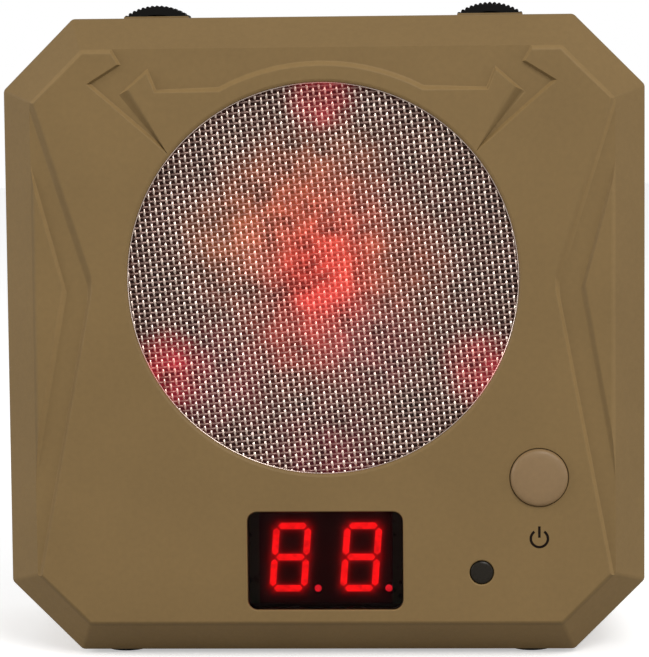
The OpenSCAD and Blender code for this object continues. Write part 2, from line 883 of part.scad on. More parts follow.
// end plates: separate ones on the right, one bridge on the left, each with a dimple for a raised contact
module contact_plates() {
    tip = cell_shift + cell_len / 2 + nub_h;
    color(steel) {
        for (z = cell_z) block([tray_x - plate_t, cell_y - 5, z - 6], [tray_x, cell_y + 5, z + 6]);
        block([-tray_x, cell_y - 5, cell_z[1] - 6], [-tray_x + plate_t, cell_y + 5, cell_z[0] + 6]);
        translate([tip, cell_y, cell_z[0]]) rotate([0, 90, 0])
            cylinder(r = 2.6, h = tray_x - plate_t - tip);
        translate([-tray_x + plate_t, cell_y, cell_z[1]]) rotate([0, 90, 0])
            cylinder(r = 2.6, h = tray_x - plate_t - tip);
    }
}

// conical spring along +X: a wire of radius wire swept round turns turns
function coil_point(s, length, turns, r0, r1, wire) = let (a = 360 * turns * s, r = r0 + (r1 - r0) * s)
    [wire + (length - 2 * wire) * s, r * cos(a), r * sin(a)];

module conical_spring(length, turns, r0, r1, wire) {
    rings = 14 * turns;
    sides = 6;
    points = [for (i = [0:rings], j = [0:sides - 1])
        let (s = i / rings, p = coil_point(s, length, turns, r0, r1, wire), a = 360 * turns * s,
             b = 360 * j / sides, out = wire * cos(b))
        [p[0] + wire * sin(b), p[1] + out * cos(a), p[2] + out * sin(a)]];
    walls = [for (i = [0:rings - 1], j = [0:sides - 1]) let (k = (j + 1) % sides)
        [i * sides + j, i * sides + k, (i + 1) * sides + k, (i + 1) * sides + j]];
    polyhedron(points, concat(walls, [[for (j = [sides - 1:-1:0]) j]],
                              [[for (j = [0:sides - 1]) rings * sides + j]]), convexity = 8);
}

module contact_springs() {
    gap = tray_x - plate_t - (cell_len / 2 - cell_shift);
    color(steel) for (end = [1, -1]) translate([0, cell_y, end > 0 ? cell_z[1] : cell_z[0]])
        mirror([end > 0 ? 0 : 1, 0, 0]) translate([tray_x - plate_t - gap, 0, 0])
            conical_spring(gap, 4, 2.4, 5, 0.4);
}

// two wires from the tray's left end up to the main board
module battery_leads() {
    out = 1.6;
    x = -tray_x - tray_wall - out;
    r = 0.7;
    color("firebrick") for (y = [13, 16]) {
        top = base_z + 70 - y / 2;
        translate([x, y, cell_z[0]]) rotate([0, 90, 0]) cylinder(r = r, h = out);
        translate([x, y, cell_z[0]]) sphere(r = r);
        translate([x, y, cell_z[0]]) cylinder(r = r, h = top - cell_z[0]);
        translate([x, y, top]) sphere(r = r);
        rod([x, top], r, y, main_board_y);
    }
}

module battery_door() {
    tab = 2.6;
    color(sand) difference() {
        union() {
            block([-door_x, rear_in, hinge_at[1]], [door_x, rear_y, door_z[1]]);
            translate([-door_x, hinge_at[0], hinge_at[1]]) rotate([0, 90, 0])
                cylinder(r = hinge_r, h = 2 * door_x);
            block([-7, rear_y - 1.6, door_z[1] - 1], [7, rear_y, door_z[1] + tab]);
        }
        translate([-door_x - 1, hinge_at[0], hinge_at[1]]) rotate([0, 90, 0])
            cylinder(r = pin_r + 0.05, h = 2 * door_x + 2);
        // grip grooves under the tab
        for (i = [0:3]) translate([-6, rear_y - 0.5, door_z[1] - 3.2 - 1.8 * i]) cube([12, 1.5, 0.8]);
    }
}

module door_seal() {
    edge = 1.2;
    inner = [tray_x - 0.2, hinge_at[1] + 2.8];
    color(black) slab(rear_in - 1.2, rear_in) difference() {
        polygon([[-inner[0] - edge, inner[1]], [inner[0] + edge, inner[1]],
                 [inner[0] + edge, door_z[1] - 0.6], [-inner[0] - edge, door_z[1] - 0.6]]);
        polygon([[-inner[0], inner[1] + edge], [inner[0], inner[1] + edge],
                 [inner[0], door_z[1] - 0.6 - edge], [-inner[0], door_z[1] - 0.6 - edge]]);
    }
}

module door_hinge_pin() {
    color(steel) translate([-door_x - 2.5, hinge_at[0], hinge_at[1]]) rotate([0, 90, 0])
        cylinder(r = pin_r, h = 2 * door_x + 5);
}

front_shell();
rear_shell();
case_gasket();
case_screws();
rubber_feet();
tripod_insert();
grille_mesh();
dust_cloth();
grille_ring();
led_board();
rim_leds();
speaker_gasket();
speaker_basket();
speaker_surround();
speaker_cone();
dust_cap();
spider();
voice_coil();
top_plate();
magnet();
back_plate();
speaker_screws();
speaker_leads();
display_window();
digit_module_left();
digit_module_right();
front_board();
ir_window();
ir_receiver();
power_button();
switch_plunger();
power_switch();
volume_wheel();
volume_shaft();
volume_wheel_screw();
volume_pot();
tone_wheel();
tone_shaft();
tone_wheel_screw();
tone_pot();
pot_board();
main_board();
board_screws();
amplifier_chip();
heatsink();
processor_chip();
capacitors();
usb_socket();
card_socket();
aux_socket();
ribbon_cable();
battery_tray();
battery_cell_upper();
battery_cell_lower();
contact_plates();
contact_springs();
battery_leads();
battery_door();
door_seal();
door_hinge_pin();
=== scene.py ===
import math

import bmesh
import bpy
from mathutils import Matrix, Vector


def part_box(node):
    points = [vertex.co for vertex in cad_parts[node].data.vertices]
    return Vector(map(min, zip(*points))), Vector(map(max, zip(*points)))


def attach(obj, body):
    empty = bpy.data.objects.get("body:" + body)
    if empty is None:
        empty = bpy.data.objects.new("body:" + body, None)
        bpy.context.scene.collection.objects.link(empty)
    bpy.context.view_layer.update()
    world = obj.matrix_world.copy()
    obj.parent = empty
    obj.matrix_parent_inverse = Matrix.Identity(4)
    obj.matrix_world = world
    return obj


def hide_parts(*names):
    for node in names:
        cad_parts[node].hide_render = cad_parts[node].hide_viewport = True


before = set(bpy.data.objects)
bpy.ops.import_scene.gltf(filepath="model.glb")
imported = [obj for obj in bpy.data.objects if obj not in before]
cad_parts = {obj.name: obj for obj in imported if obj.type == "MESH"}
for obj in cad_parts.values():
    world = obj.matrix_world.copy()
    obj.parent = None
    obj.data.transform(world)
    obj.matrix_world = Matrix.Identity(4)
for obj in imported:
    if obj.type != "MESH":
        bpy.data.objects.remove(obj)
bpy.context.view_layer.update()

# ---- Camera ----
# It stands in front of the case, a little to the right and a little above its middle,
# far enough off that the sides of the case stay nearly parallel.
mm = 0.001
case_low, case_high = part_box("rear_shell")
case_middle = Vector((0, 0, (case_low.z + case_high.z) / 2))
turn, lift, roll = math.radians(2.36), math.radians(4.5), math.radians(-0.53)
eye = case_middle + 0.55 * Vector((math.sin(turn) * math.cos(lift),
                                   -math.cos(turn) * math.cos(lift), math.sin(lift)))
ahead = (case_middle - eye).normalized()
level = ahead.cross(Vector((0, 0, 1))).normalized()
upright = level.cross(ahead)
across = level * math.cos(roll) + upright * math.sin(roll)
over = upright * math.cos(roll) - level * math.sin(roll)
bpy.ops.object.camera_add(location=eye, rotation=Matrix((across, over, -ahead)).transposed().to_euler())
camera = bpy.context.active_object
camera.data.lens = 141.7
camera.data.shift_x = -0.0073
camera.data.shift_y = -0.0023
camera.data.clip_start = 0.01
bpy.context.scene.camera = camera
bpy.context.scene.view_settings.view_transform = "Standard"


# ---- Studio ----
# A pale floor, an even white room, one large soft light from above on the right,
# and two weak ones at the sides.
def node(tree, kind, inputs=None, **settings):
    """A shader node; an input is a value or the socket that feeds it."""
    made = tree.nodes.new(kind)
    for name, value in settings.items():
        setattr(made, name, value)
    for socket, value in (inputs or {}).items():
        if isinstance(value, bpy.types.NodeSocket):
            tree.links.new(value, made.inputs[socket])
        else:
            made.inputs[socket].default_value = value
    return made


def spread(tree, value, low, high, start=0.0, end=1.0):
    """value from start to end turned into low to high."""
    return node(tree, "ShaderNodeMapRange", {"Value": value, "From Min": start, "From Max": end,
                                             "To Min": low, "To Max": high}).outputs[0]


def own_place(tree):
    return node(tree, "ShaderNodeTexCoord").outputs["Object"]


def noise(tree, place, scale, detail):
    return node(tree, "ShaderNodeTexNoise", {"Vector": place, "Scale": scale, "Detail": detail}).outputs[0]


world = bpy.data.worlds.new("white_room")
bpy.context.scene.world = world
world.use_nodes = True
room = world.node_tree
seen = node(room, "ShaderNodeLightPath").outputs["Is Camera Ray"]
room.links.new(spread(room, seen, 0.5, 1.0), room.nodes["Background"].inputs["Strength"])
room.nodes["Background"].inputs["Color"].default_value = (1, 1, 1, 1)

for name, place, power, size in (("key_light", (0.42, -0.95, 0.9), 9.5, 0.6),
                                 ("left_light", (-1.1, -0.35, 0.4), 5.0, 0.5),
                                 ("right_light", (1.1, -0.4, 0.25), 1.9, 0.5)):
    toward = case_middle - Vector(place)
    bpy.ops.object.light_add(type="AREA", location=place,
                             rotation=toward.to_track_quat("-Z", "Y").to_euler())
    light = bpy.context.active_object
    light.name = name
    light.data.energy = power
    light.data.size = size

bpy.ops.mesh.primitive_plane_add(size=8)
floor = bpy.context.active_object
floor.name = "floor"
floor_paint = bpy.data.materials.new("pale_floor")
floor_paint.use_nodes = True
tree = floor_paint.node_tree
seen = node(tree, "ShaderNodeLightPath").outputs["Is Camera Ray"]
pale = spread(tree, noise(tree, own_place(tree), 60.0, 4.0), 0.9, 0.94)
paint = tree.nodes["Principled BSDF"].inputs
tree.links.new(spread(tree, seen, 0.55, pale), paint["Base Color"])
tree.links.new(spread(tree, seen, 0.0, 0.45), paint["Emission Strength"])
paint["Emission Color"].default_value = (1, 1, 1, 1)
paint["Roughness"].default_value = 0.7
floor.data.materials.append(floor_paint)


# ---- Front half of the case ----
# One injection moulding in sand-coloured ABS with a fine spark-eroded texture. A sloping border
# runs round all eight sides, and channels are sunk in the face beside and above the loudspeaker.
def effect(name, inputs, outputs=None):
    """A node group that several finishes share; returns it with its inner sockets."""
    tree = bpy.data.node_groups.new(name, "ShaderNodeTree")
    for socket, value in inputs.items():
        kind = "NodeSocketFloat" if isinstance(value, float) else \
               "NodeSocketColor" if len(value) == 4 else "NodeSocketVector"
        tree.interface.new_socket(socket, in_out="INPUT", socket_type=kind).default_value = value
    for socket, kind in (outputs or {"Color": "Color", "Roughness": "Float", "Normal": "Vector"}).items():
        tree.interface.new_socket(socket, in_out="OUTPUT", socket_type="NodeSocket" + kind)
    return tree, tree.nodes.new("NodeGroupInput").outputs, tree.nodes.new("NodeGroupOutput").inputs


def shaded(tree, colour, amount):
    """The colour made lighter or darker by amount."""
    return node(tree, "ShaderNodeVectorMath", {0: colour, "Scale": amount}, operation="SCALE").outputs[0]


def reckon(tree, operation, *values):
    """The result of one sum on values that change over the surface."""
    return node(tree, "ShaderNodeMath", dict(enumerate(values)), operation=operation).outputs[0]


def give_out(tree, take, colour, roughness, height, depth, strength):
    """Ends an effect: its colour, its roughness, and the relief made from a height."""
    relief = node(tree, "ShaderNodeBump", {"Height": height, "Distance": depth, "Strength": strength})
    for socket, value in (("Color", colour), ("Roughness", roughness), ("Normal", relief.outputs[0])):
        tree.links.new(value, take[socket])


def finish(name, group, values, shader_values=None):
    """A material whose colour, roughness and relief come from one shared effect."""
    made = bpy.data.materials.new(name)
    made.use_nodes = True
    tree = made.node_tree
    shader = tree.nodes["Principled BSDF"]
    source = node(tree, "ShaderNodeGroup", node_tree=group)
    for socket, value in values.items():
        source.inputs[socket].default_value = value
    for output, socket in (("Color", "Base Color"), ("Roughness", "Roughness"), ("Normal", "Normal")):
        tree.links.new(source.outputs[output], shader.inputs[socket])
    for socket, value in (shader_values or {}).items():
        shader.inputs[socket].default_value = value
    return made


# even moulded surface: fine grain in relief, and slow clouds in colour and gloss
moulded, give, take = effect(
    "moulded_grain", {"Color": (0.5, 0.5, 0.5, 1), "Grain": 2500.0, "Depth": 0.02, "Gloss": 0.5})
place = own_place(moulded)
grain = noise(moulded, place, give["Grain"], 3.0)
tone = reckon(moulded, "MULTIPLY", spread(moulded, noise(moulded, place, 35.0, 4.0), 0.95, 1.05, 0.3, 0.7),
              spread(moulded, noise(moulded, place, 900.0, 2.0), 0.97, 1.03, 0.3, 0.7))
give_out(moulded, take, shaded(moulded, give["Color"], tone),
         reckon(moulded, "ADD", give["Gloss"], spread(moulded, grain, -0.08, 0.08, 0.3, 0.7)),
         grain, 0.00002, give["Depth"])

case_plastic = finish("case_plastic", moulded,
                      {"Color": (0.199, 0.126, 0.0485, 1), "Grain": 3200.0, "Depth": 0.35, "Gloss": 0.56},
                      {"IOR": 1.48, "Specular IOR Level": 0.22})
# painted light and shade on the sloping walls of the sunk channels, coloured by the way they face: up to a
# sixth paler where they lean upwards, towards the light, and up to a sixth darker where they lean
# downwards, into shade
face_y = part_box("front_shell")[0].y
sunk, margin = 0.8 * mm, 0.02 * mm
mesh_low, mesh_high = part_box("grille_mesh")
speaker = (mesh_low + mesh_high) / 2
tree = case_plastic.node_tree
place = own_place(tree)
depth_here = node(tree, "ShaderNodeSeparateXYZ", {0: place}).outputs["Y"]
in_channel = reckon(tree, "MULTIPLY",
                    spread(tree, depth_here, 0.0, 1.0, face_y + margin, face_y + 3 * margin),
                    spread(tree, depth_here, 1.0, 0.0, face_y + sunk - margin, face_y + sunk + margin))
facing = node(tree, "ShaderNodeTexCoord").outputs["Normal"]
leaning = node(tree, "ShaderNodeVectorMath", {0: facing, 1: (0.25, 0.0, 0.97)},
               operation="DOT_PRODUCT").outputs["Value"]
to_centre = node(tree, "ShaderNodeVectorMath", {0: place, 1: speaker},
                 operation="DISTANCE").outputs["Value"]
outside = spread(tree, to_centre, 0.0, 1.0, mesh_high.x - 0.6 * mm, mesh_high.x - 0.2 * mm)
# the painted light and shade, only on the channel walls and not round the grille
painted_wall_light_and_shade = node(tree, "ShaderNodeMix", {0: reckon(tree, "MULTIPLY", in_channel, outside), 2: 1.0,
                                      3: spread(tree, leaning, 0.84, 1.16, -0.22, 0.22)}).outputs[0]
base = tree.nodes["Principled BSDF"].inputs["Base Color"]
tree.links.new(shaded(tree, base.links[0].from_socket, painted_wall_light_and_shade), base)


def only(*objects):
    """Selects these objects alone, the last one active."""
    bpy.ops.object.select_all(action="DESELECT")
    for each in objects:
        each.select_set(True)
    bpy.context.view_layer.objects.active = objects[-1]


def pick(kind, wanted):
    """In edit mode, selects only the edges or faces for which wanted is true."""
    bpy.context.tool_settings.mesh_select_mode = (False, kind == "edges", kind == "faces")
    bpy.ops.mesh.select_all(action="DESELECT")
    shape = bmesh.from_edit_mesh(bpy.context.edit_object.data)
    for part in getattr(shape, kind):
        if wanted(part):
            part.select_set(True)
    bmesh.update_edit_mesh(bpy.context.edit_object.data)


def block(name, low, high):
    """A cube brought to the size between two corners, left in edit mode."""
    bpy.ops.object.select_all(action="DESELECT")
    bpy.ops.mesh.primitive_cube_add(size=1, location=(Vector(low) + Vector(high)) / 2)
    made = bpy.context.active_object
    made.name = name
    made.scale = Vector(high) - Vector(low)
    bpy.ops.object.transform_apply(location=True, rotation=False, scale=True)
    bpy.ops.object.mode_set(mode="EDIT")
    return made


def drawn(name, corners, fill="NGON"):
    """A flat outline through these corners, left in edit mode and selected all over."""
    bpy.ops.object.select_all(action="DESELECT")
    bpy.ops.mesh.primitive_circle_add(vertices=len(corners), fill_type=fill)
    made = bpy.context.active_object
    made.name = name
    for corner, place in zip(made.data.vertices, corners):
        corner.co = place
    made.data.update()
    bpy.ops.object.mode_set(mode="EDIT")
    bpy.ops.mesh.select_all(action="SELECT")
    return made


def closed(made):
    """Turns a shape's faces outwards and leaves edit mode."""
    bpy.ops.mesh.select_all(action="SELECT")
    bpy.ops.mesh.normals_make_consistent(inside=False)
    bpy.ops.object.mode_set(mode="OBJECT")
    return made


def runs_along(axis):
    return lambda edge: abs((edge.verts[0].co - edge.verts[1].co).normalized()[axis]) > 0.99


def outline_block(name, drawn_in, y0, y1):
    """The case's octagon between two depths: a cube with its four long corners cut off."""
    made = block(name, (-half_w + drawn_in, y0, case_low.z + drawn_in),
                 (half_w - drawn_in, y1, case_high.z - drawn_in))
    pick("edges", runs_along(1))
    bpy.ops.mesh.bevel(offset=corner_leg - drawn_in * (2 - math.sqrt(2)), segments=1)
    return made


def soften(piece, width, angle=30, segments=3):
    """Rounds every edge sharper than angle."""
    only(piece)
    rounding = piece.modifiers.new("rounding", "BEVEL")
    rounding.width = width
    rounding.segments = segments
    rounding.limit_method = "ANGLE"
    rounding.angle_limit = math.radians(angle)
    bpy.ops.object.modifier_apply(modifier=rounding.name)


def carve(piece, tool, operation="DIFFERENCE"):
    """Cuts the tool out of the piece, or joins it on, and throws the tool away."""
    only(piece)
    cut = piece.modifiers.new("cut", "BOOLEAN")
    cut.operation = operation
    cut.object = tool
    cut.solver = "EXACT"
    bpy.ops.object.modifier_apply(modifier=cut.name)
    bpy.data.objects.remove(tool)


def pocket(name, outline, mouth_y, steps):
    """A cutter for a face of the case: the outline is pushed in step by step, each (drawn in, deeper)."""
    inward = 1 if mouth_y < 0 else -1
    cutter = drawn(name, [(x, mouth_y - inward * mm, z) for x, z in outline])
    if cutter.data.polygons[0].normal.y * inward < 0:
        bpy.ops.mesh.flip_normals()
    bpy.ops.mesh.extrude_region_move(TRANSFORM_OT_translate={"value": (0, inward * mm, 0)})
    for drawn_in, deeper in steps:
        if drawn_in:
            bpy.ops.mesh.inset(thickness=drawn_in, depth=deeper)
        else:
            bpy.ops.mesh.extrude_region_move(TRANSFORM_OT_translate={"value": (0, inward * deeper, 0)})
    return closed(cutter)


def grown(outline, by):
    """The closed outline with every side moved out by that much."""
    area = sum(a[0] * b[1] - b[0] * a[1] for a, b in zip(outline, outline[1:] + outline[:1]))
    side = 1 if area > 0 else -1
    result = []
    for i, point in enumerate(outline):
        before = (Vector(point) - Vector(outline[i - 1])).normalized()
        after = (Vector(outline[(i + 1) % len(outline)]) - Vector(point)).normalized()
        out_before, out_after = Vector((before.y, -before.x)), Vector((after.y, -after.x))
        middle = (out_before + out_after).normalized()
        result.append(tuple(Vector(point) + side * by / max(middle.dot(out_after), 0.3) * middle))
    return result


def ring_of(radius, x, z, count=96):
    return [(x + radius * math.cos(math.tau * i / count), z + radius * math.sin(math.tau * i / count))
            for i in range(count)]


def smooth(piece, angle=30):
    """Smooth shading that stays flat on the broad faces."""
    only(piece)
    bpy.ops.object.shade_smooth_by_angle(angle=math.radians(angle))
    flat_faces = piece.modifiers.new("flat_faces", "WEIGHTED_NORMAL")
    flat_faces.keep_sharp = True
    flat_faces.weight = 100
    bpy.ops.object.modifier_apply(modifier=flat_faces.name)


split_y = case_low.y
half_w = case_high.x
base_z = case_low.z
wall = 2.4 * mm
corner_leg = 14.3 * mm
border_w, border_d = 7.1 * mm, 8.5 * mm
grille_r = 39.4 * mm
well_r = (mesh_high.x - mesh_low.x) / 2 + 0.1 * mm

front = outline_block("front_shell_moulding", 0, face_y + border_d, split_y)
pick("faces", lambda f: f.normal.y < -0.99)
bpy.ops.mesh.inset(thickness=border_w, depth=border_d)
bpy.ops.object.mode_set(mode="OBJECT")
soften(front, 0.45 * mm, 15)

# the hollow behind the face follows the border at the wall's thickness
slant = wall * math.hypot(border_w, border_d) / border_d
hollow_start = border_d * (border_w - wall + slant) / border_w
hollow = outline_block("hollow", wall, face_y + hollow_start, split_y + mm)
pick("faces", lambda f: f.normal.y < -0.99)
bpy.ops.mesh.inset(thickness=border_w - wall + slant - border_w * wall / border_d,
                   depth=hollow_start - wall)
bpy.ops.object.mode_set(mode="OBJECT")
carve(front, hollow)


def turned(name, profile, centre, steps=96):
    """A closed profile of (radius, y) spun round the line through centre that runs front to back."""
    made = drawn(name, [(centre[0] + radius, y, centre[1]) for radius, y in profile], "NOTHING")
    bpy.ops.mesh.spin(steps=steps, angle=math.tau, center=(centre[0], 0, centre[1]), axis=(0, 1, 0))
    bpy.ops.mesh.select_all(action="SELECT")
    bpy.ops.mesh.remove_doubles(threshold=1e-6)
    bpy.ops.mesh.delete_loose()
    return closed(made)


def post(radius, x, z, y0, y1):
    return turned("post", [(0, y0), (radius, y0), (radius, y1), (0, y1)], (x, z), 32)


# screw posts moulded on the back of the face, and the round well behind the grille
inside = face_y + wall - 0.5 * mm
flange_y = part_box("speaker_basket")[0].y
reach = 46 * mm * math.sqrt(0.5)
screw_x, screw_z, screw_rise = 56 * mm, base_z + 68 * mm, 32 * mm
for sx in (-1, 1):
    for sz in (-1, 1):
        carve(front, post(3.2 * mm, sx * reach, speaker.z + sz * reach, inside, flange_y), "UNION")
        carve(front, post(4.2 * mm, sx * screw_x, screw_z + sz * screw_rise, face_y + 9 * mm, split_y),
              "UNION")
# posts of the front board and of the wheels' board: x, z, front end and back end in millimetres
for x, z, y0, y1 in ((-24.5, 12.5, -29, -19.4), (-24.5, 30, -29, -19.4), (51, 12.5, -27, -19.4),
                     (51.5, 27.5, -29, -19.4), (0, 124, -22, -8), (-52, 112, -22, -8), (52, 112, -22, -8)):
    carve(front, post(2.6 * mm, x * mm, base_z + z * mm, y0 * mm, y1 * mm), "UNION")

# lips beside the slots of the wheels
wheel_low, wheel_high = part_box("volume_wheel")
wheel_x = abs(wheel_low.x + wheel_high.x) / 2
wheel_z = (wheel_low.z + wheel_high.z) / 2
wheel_r = (wheel_high.z - wheel_low.z) / 2
slot_front, slot_back, lip_t = wheel_low.y - 0.4 * mm, wheel_high.y + 0.4 * mm, 1.4 * mm
for side in (-1, 1):
    for y0, y1 in ((slot_front - lip_t, slot_front), (slot_back, slot_back + lip_t)):
        lip = block("lip", (side * wheel_x - 6.6 * mm, y0, case_high.z - mm),
                    (side * wheel_x + 6.6 * mm, y1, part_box("front_shell")[1].z))
        bpy.ops.object.mode_set(mode="OBJECT")
        soften(lip, 0.15 * mm, 50, 2)
        carve(front, lip, "UNION")
    slot_r = wheel_r + 0.4 * mm
    carve(front, turned("slot_cut", [(0, slot_front), (slot_r, slot_front), (slot_r, slot_back),
                                     (0, slot_back)], (side * wheel_x, wheel_z)))

# Sunk panel over the grille with a channel down each side to its rim, and a bent channel at each
# side of the face. A corner is (x, z, width of the sloping wall before it, width after it).
def sunk_panel(corners, depth):
    """The cutter of a sunken panel whose walls slope in to its floor and are rounded at both ends."""
    area = sum(a[0] * b[1] - b[0] * a[1] for a, b in zip(corners, corners[1:] + corners[:1]))
    side = 1 if area > 0 else -1
    floor_line = []
    for i, (x, z, before, after) in enumerate(corners):
        here = Vector((x, z))
        into = (here - Vector(corners[i - 1][:2])).normalized()
        out = (Vector(corners[(i + 1) % len(corners)][:2]) - here).normalized()
        in_normal, out_normal = side * Vector((-into.y, into.x)), side * Vector((-out.y, out.x))
        bend = in_normal.x * out_normal.y - in_normal.y * out_normal.x
        if abs(bend) < 0.02:
            moved = here + out_normal * (before + after) / 2
        else:
            moved = here + Vector((before * out_normal.y - after * in_normal.y,
                                   after * in_normal.x - before * out_normal.x)) / bend
        floor_line.append(moved)
    ring = [Vector((x * mm, face_y - mm, base_z + z * mm)) for x, z, before, after in corners]
    cutter = drawn("sunk_panel", ring)
    for share in (0, 0.15, 0.3, 0.5, 0.7, 0.85, 1):
        deep = depth * share * share * (3 - 2 * share)
        step = face_y + deep - ring[0].y
        bpy.ops.mesh.extrude_region_move(TRANSFORM_OT_translate={"value": (0, step, 0)})
        shape = bmesh.from_edit_mesh(cutter.data)
        for corner in [v for v in shape.verts if v.select]:
            i = min(range(len(ring)), key=lambda k: (ring[k].xz - corner.co.xz).length)
            flat = Vector(corners[i][:2]).lerp(floor_line[i], share)
            corner.co = (flat.x * mm, face_y + deep, base_z + flat.y * mm)
        bmesh.update_edit_mesh(cutter.data)
        ring = [Vector((flat.x * mm, face_y + deep, base_z + flat.y * mm)) for flat in
                (Vector(c[:2]).lerp(f, share) for c, f in zip(corners, floor_line))]
    return closed(cutter)


def mirrored(corners):
    return [(-x, z, after, before) for x, z, before, after in reversed(corners)]


arc_r, arc_z = 43.2, 76.1
brow = [(43.6, 125.5, 0.7, 0.7), (42.1, 122.2, 0.7, 0.7), (40.8, 120, 0.7, 0.5), (47.1, 116.1, 0.5, 0.8),
        (30.6, 101.7, 0.8, 0.05), (38.1, 115.2, 3.2, 0.8), (34.9, 118, 0.8, 0.7), (33.4, 114.2, 0.7, 0.8)]
brow += [(arc_r * math.sin(math.radians(a)), arc_z + arc_r * math.cos(math.radians(a)), 1.2, 1.2)
         for a in range(28, 0, -4)]
brow += [(0, arc_z + arc_r, 1.2, 1.2)] + mirrored(brow)
channel = [(58.4, 116, 0.7, 1.8), (46.4, 78, 1.8, 1.2), (46.4, 74.5, 1.2, 0.9), (58.2, 12.6, 0.9, 0.8),
           (62, 12.6, 0.8, 0.8), (62, 24.2, 0.8, 1.4), (52.7, 75.6, 1.4, 0.8), (62, 110.1, 0.8, 0.7),
           (62, 116, 0.7, 0.7)]
for shape in (brow, channel, mirrored(channel)):
    carve(front, sunk_panel(shape, sunk))

# the openings in the face, each with a rounded mouth
mouth_w = 0.28 * mm
mouth = [(0.12 * mm, 0.03 * mm), (0.1 * mm, 0.07 * mm), (0.06 * mm, 0.12 * mm), (0, 4 * mm)]
window_low, window_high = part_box("display_window")
window = (window_low + window_high) / 2
button_low, button_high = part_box("power_button")
button = (button_low + button_high) / 2
button_r = (button_high.x - button_low.x) / 2 - 1.2 * mm
eye_low, eye_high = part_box("ir_window")
ir_eye = (eye_low + eye_high) / 2


def rounded(width, height, radius, x, z):
    """Outline of a rectangle with round corners."""
    half_x, half_z = width / 2 - radius, height / 2 - radius
    corners = ((half_x, half_z, 0), (-half_x, half_z, 90), (-half_x, -half_z, 180), (half_x, -half_z, 270))
    return [(x + cx + radius * math.cos(math.radians(a)), z + cz + radius * math.sin(math.radians(a)))
            for cx, cz, start in corners for a in range(start, start + 91, 15)]


window_w = window_high.x - window_low.x - 3 * mm
window_h = window_high.z - window_low.z - 2.6 * mm
for outline in (rounded(window_w, window_h, 2 * mm, 0, window.z),
                ring_of(2.45 * mm, ir_eye.x, ir_eye.z, 48)):
    carve(front, pocket("opening", grown(outline, mouth_w), face_y, mouth))
carve(front, pocket("button_hole", ring_of(button_r + 0.2 * mm, button.x, button.z, 96), face_y,
                    [(0.05 * mm, 0.05 * mm), (0, 4 * mm)]))
rebate_y = mesh_low.y
carve(front, turned("grille_cut", [
    (0, face_y - mm), (grille_r + 1.2 * mm, face_y - mm), (grille_r + 0.62 * mm, face_y),
    (grille_r + 0.3 * mm, face_y + 0.1 * mm), (grille_r + 0.08 * mm, face_y + 0.3 * mm),
    (grille_r, face_y + 0.6 * mm), (grille_r, rebate_y), (well_r, rebate_y), (well_r, face_y + 4 * mm),
    (0, face_y + 4 * mm)], (speaker.x, speaker.z), 160))
well_back = flange_y - 2.5 * mm
carve(front, turned("well_ring", [(well_r, inside + 0.6 * mm), (well_r + 2 * mm, inside),
                                  (well_r + 2 * mm, well_back), (well_r, well_back)],
                    (speaker.x, speaker.z), 160), "UNION")


def put(piece, material, body, slot_name, *replaced):
    """Gives a finished piece its finish, the body it moves with, and the CAD nodes it stands for."""
    piece.data.materials.clear()
    piece.data.materials.append(material)
    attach(piece, body)
    if replaced:
        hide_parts(*replaced)


smooth(front)
put(front, case_plastic, "case", "case_plastic", "front_shell")


# ---- Grille ----
# Plain-woven stainless wire cloth, drawn a little askew as it was pressed in: wires that go up
# and down, and wires that go across, each passing over one and under the next.
metal_marks, give, take = effect(
    "metal_marks", {"Color": (0.5, 0.5, 0.5, 1), "Along": (1.0, 1.0, 1.0), "Gloss": 0.3, "Depth": 0.1})
place = own_place(metal_marks)
stretched = node(metal_marks, "ShaderNodeVectorMath", {0: place, 1: give["Along"]}, operation="MULTIPLY")
lines = noise(metal_marks, stretched.outputs[0], 2600.0, 4.0)
stains = spread(metal_marks, noise(metal_marks, place, 160.0, 5.0), 0.82, 1.12, 0.3, 0.7)
give_out(metal_marks, take, shaded(metal_marks, give["Color"], stains),
         reckon(metal_marks, "ADD", give["Gloss"], spread(metal_marks, lines, -0.1, 0.14, 0.3, 0.7)),
         lines, 0.00001, give["Depth"])

# painted red light on the parts in front of the loudspeaker: a glow, and a red cast on their colour,
# standing in for the red
# # light that comes through from behind; strongest in the middle, and at three places on the rim
glow, give, take = effect("light_behind", {"Strength": 1.0}, {"Color": "Color", "Tint": "Color"})
place = own_place(glow)
patchy = spread(glow, noise(glow, place, 260.0, 3.0), 0.3, 1.6, 0.3, 0.7)
total = None
rim = 36.5 * mm
led_x, led_z = rim * math.cos(math.radians(30)), -rim / 2
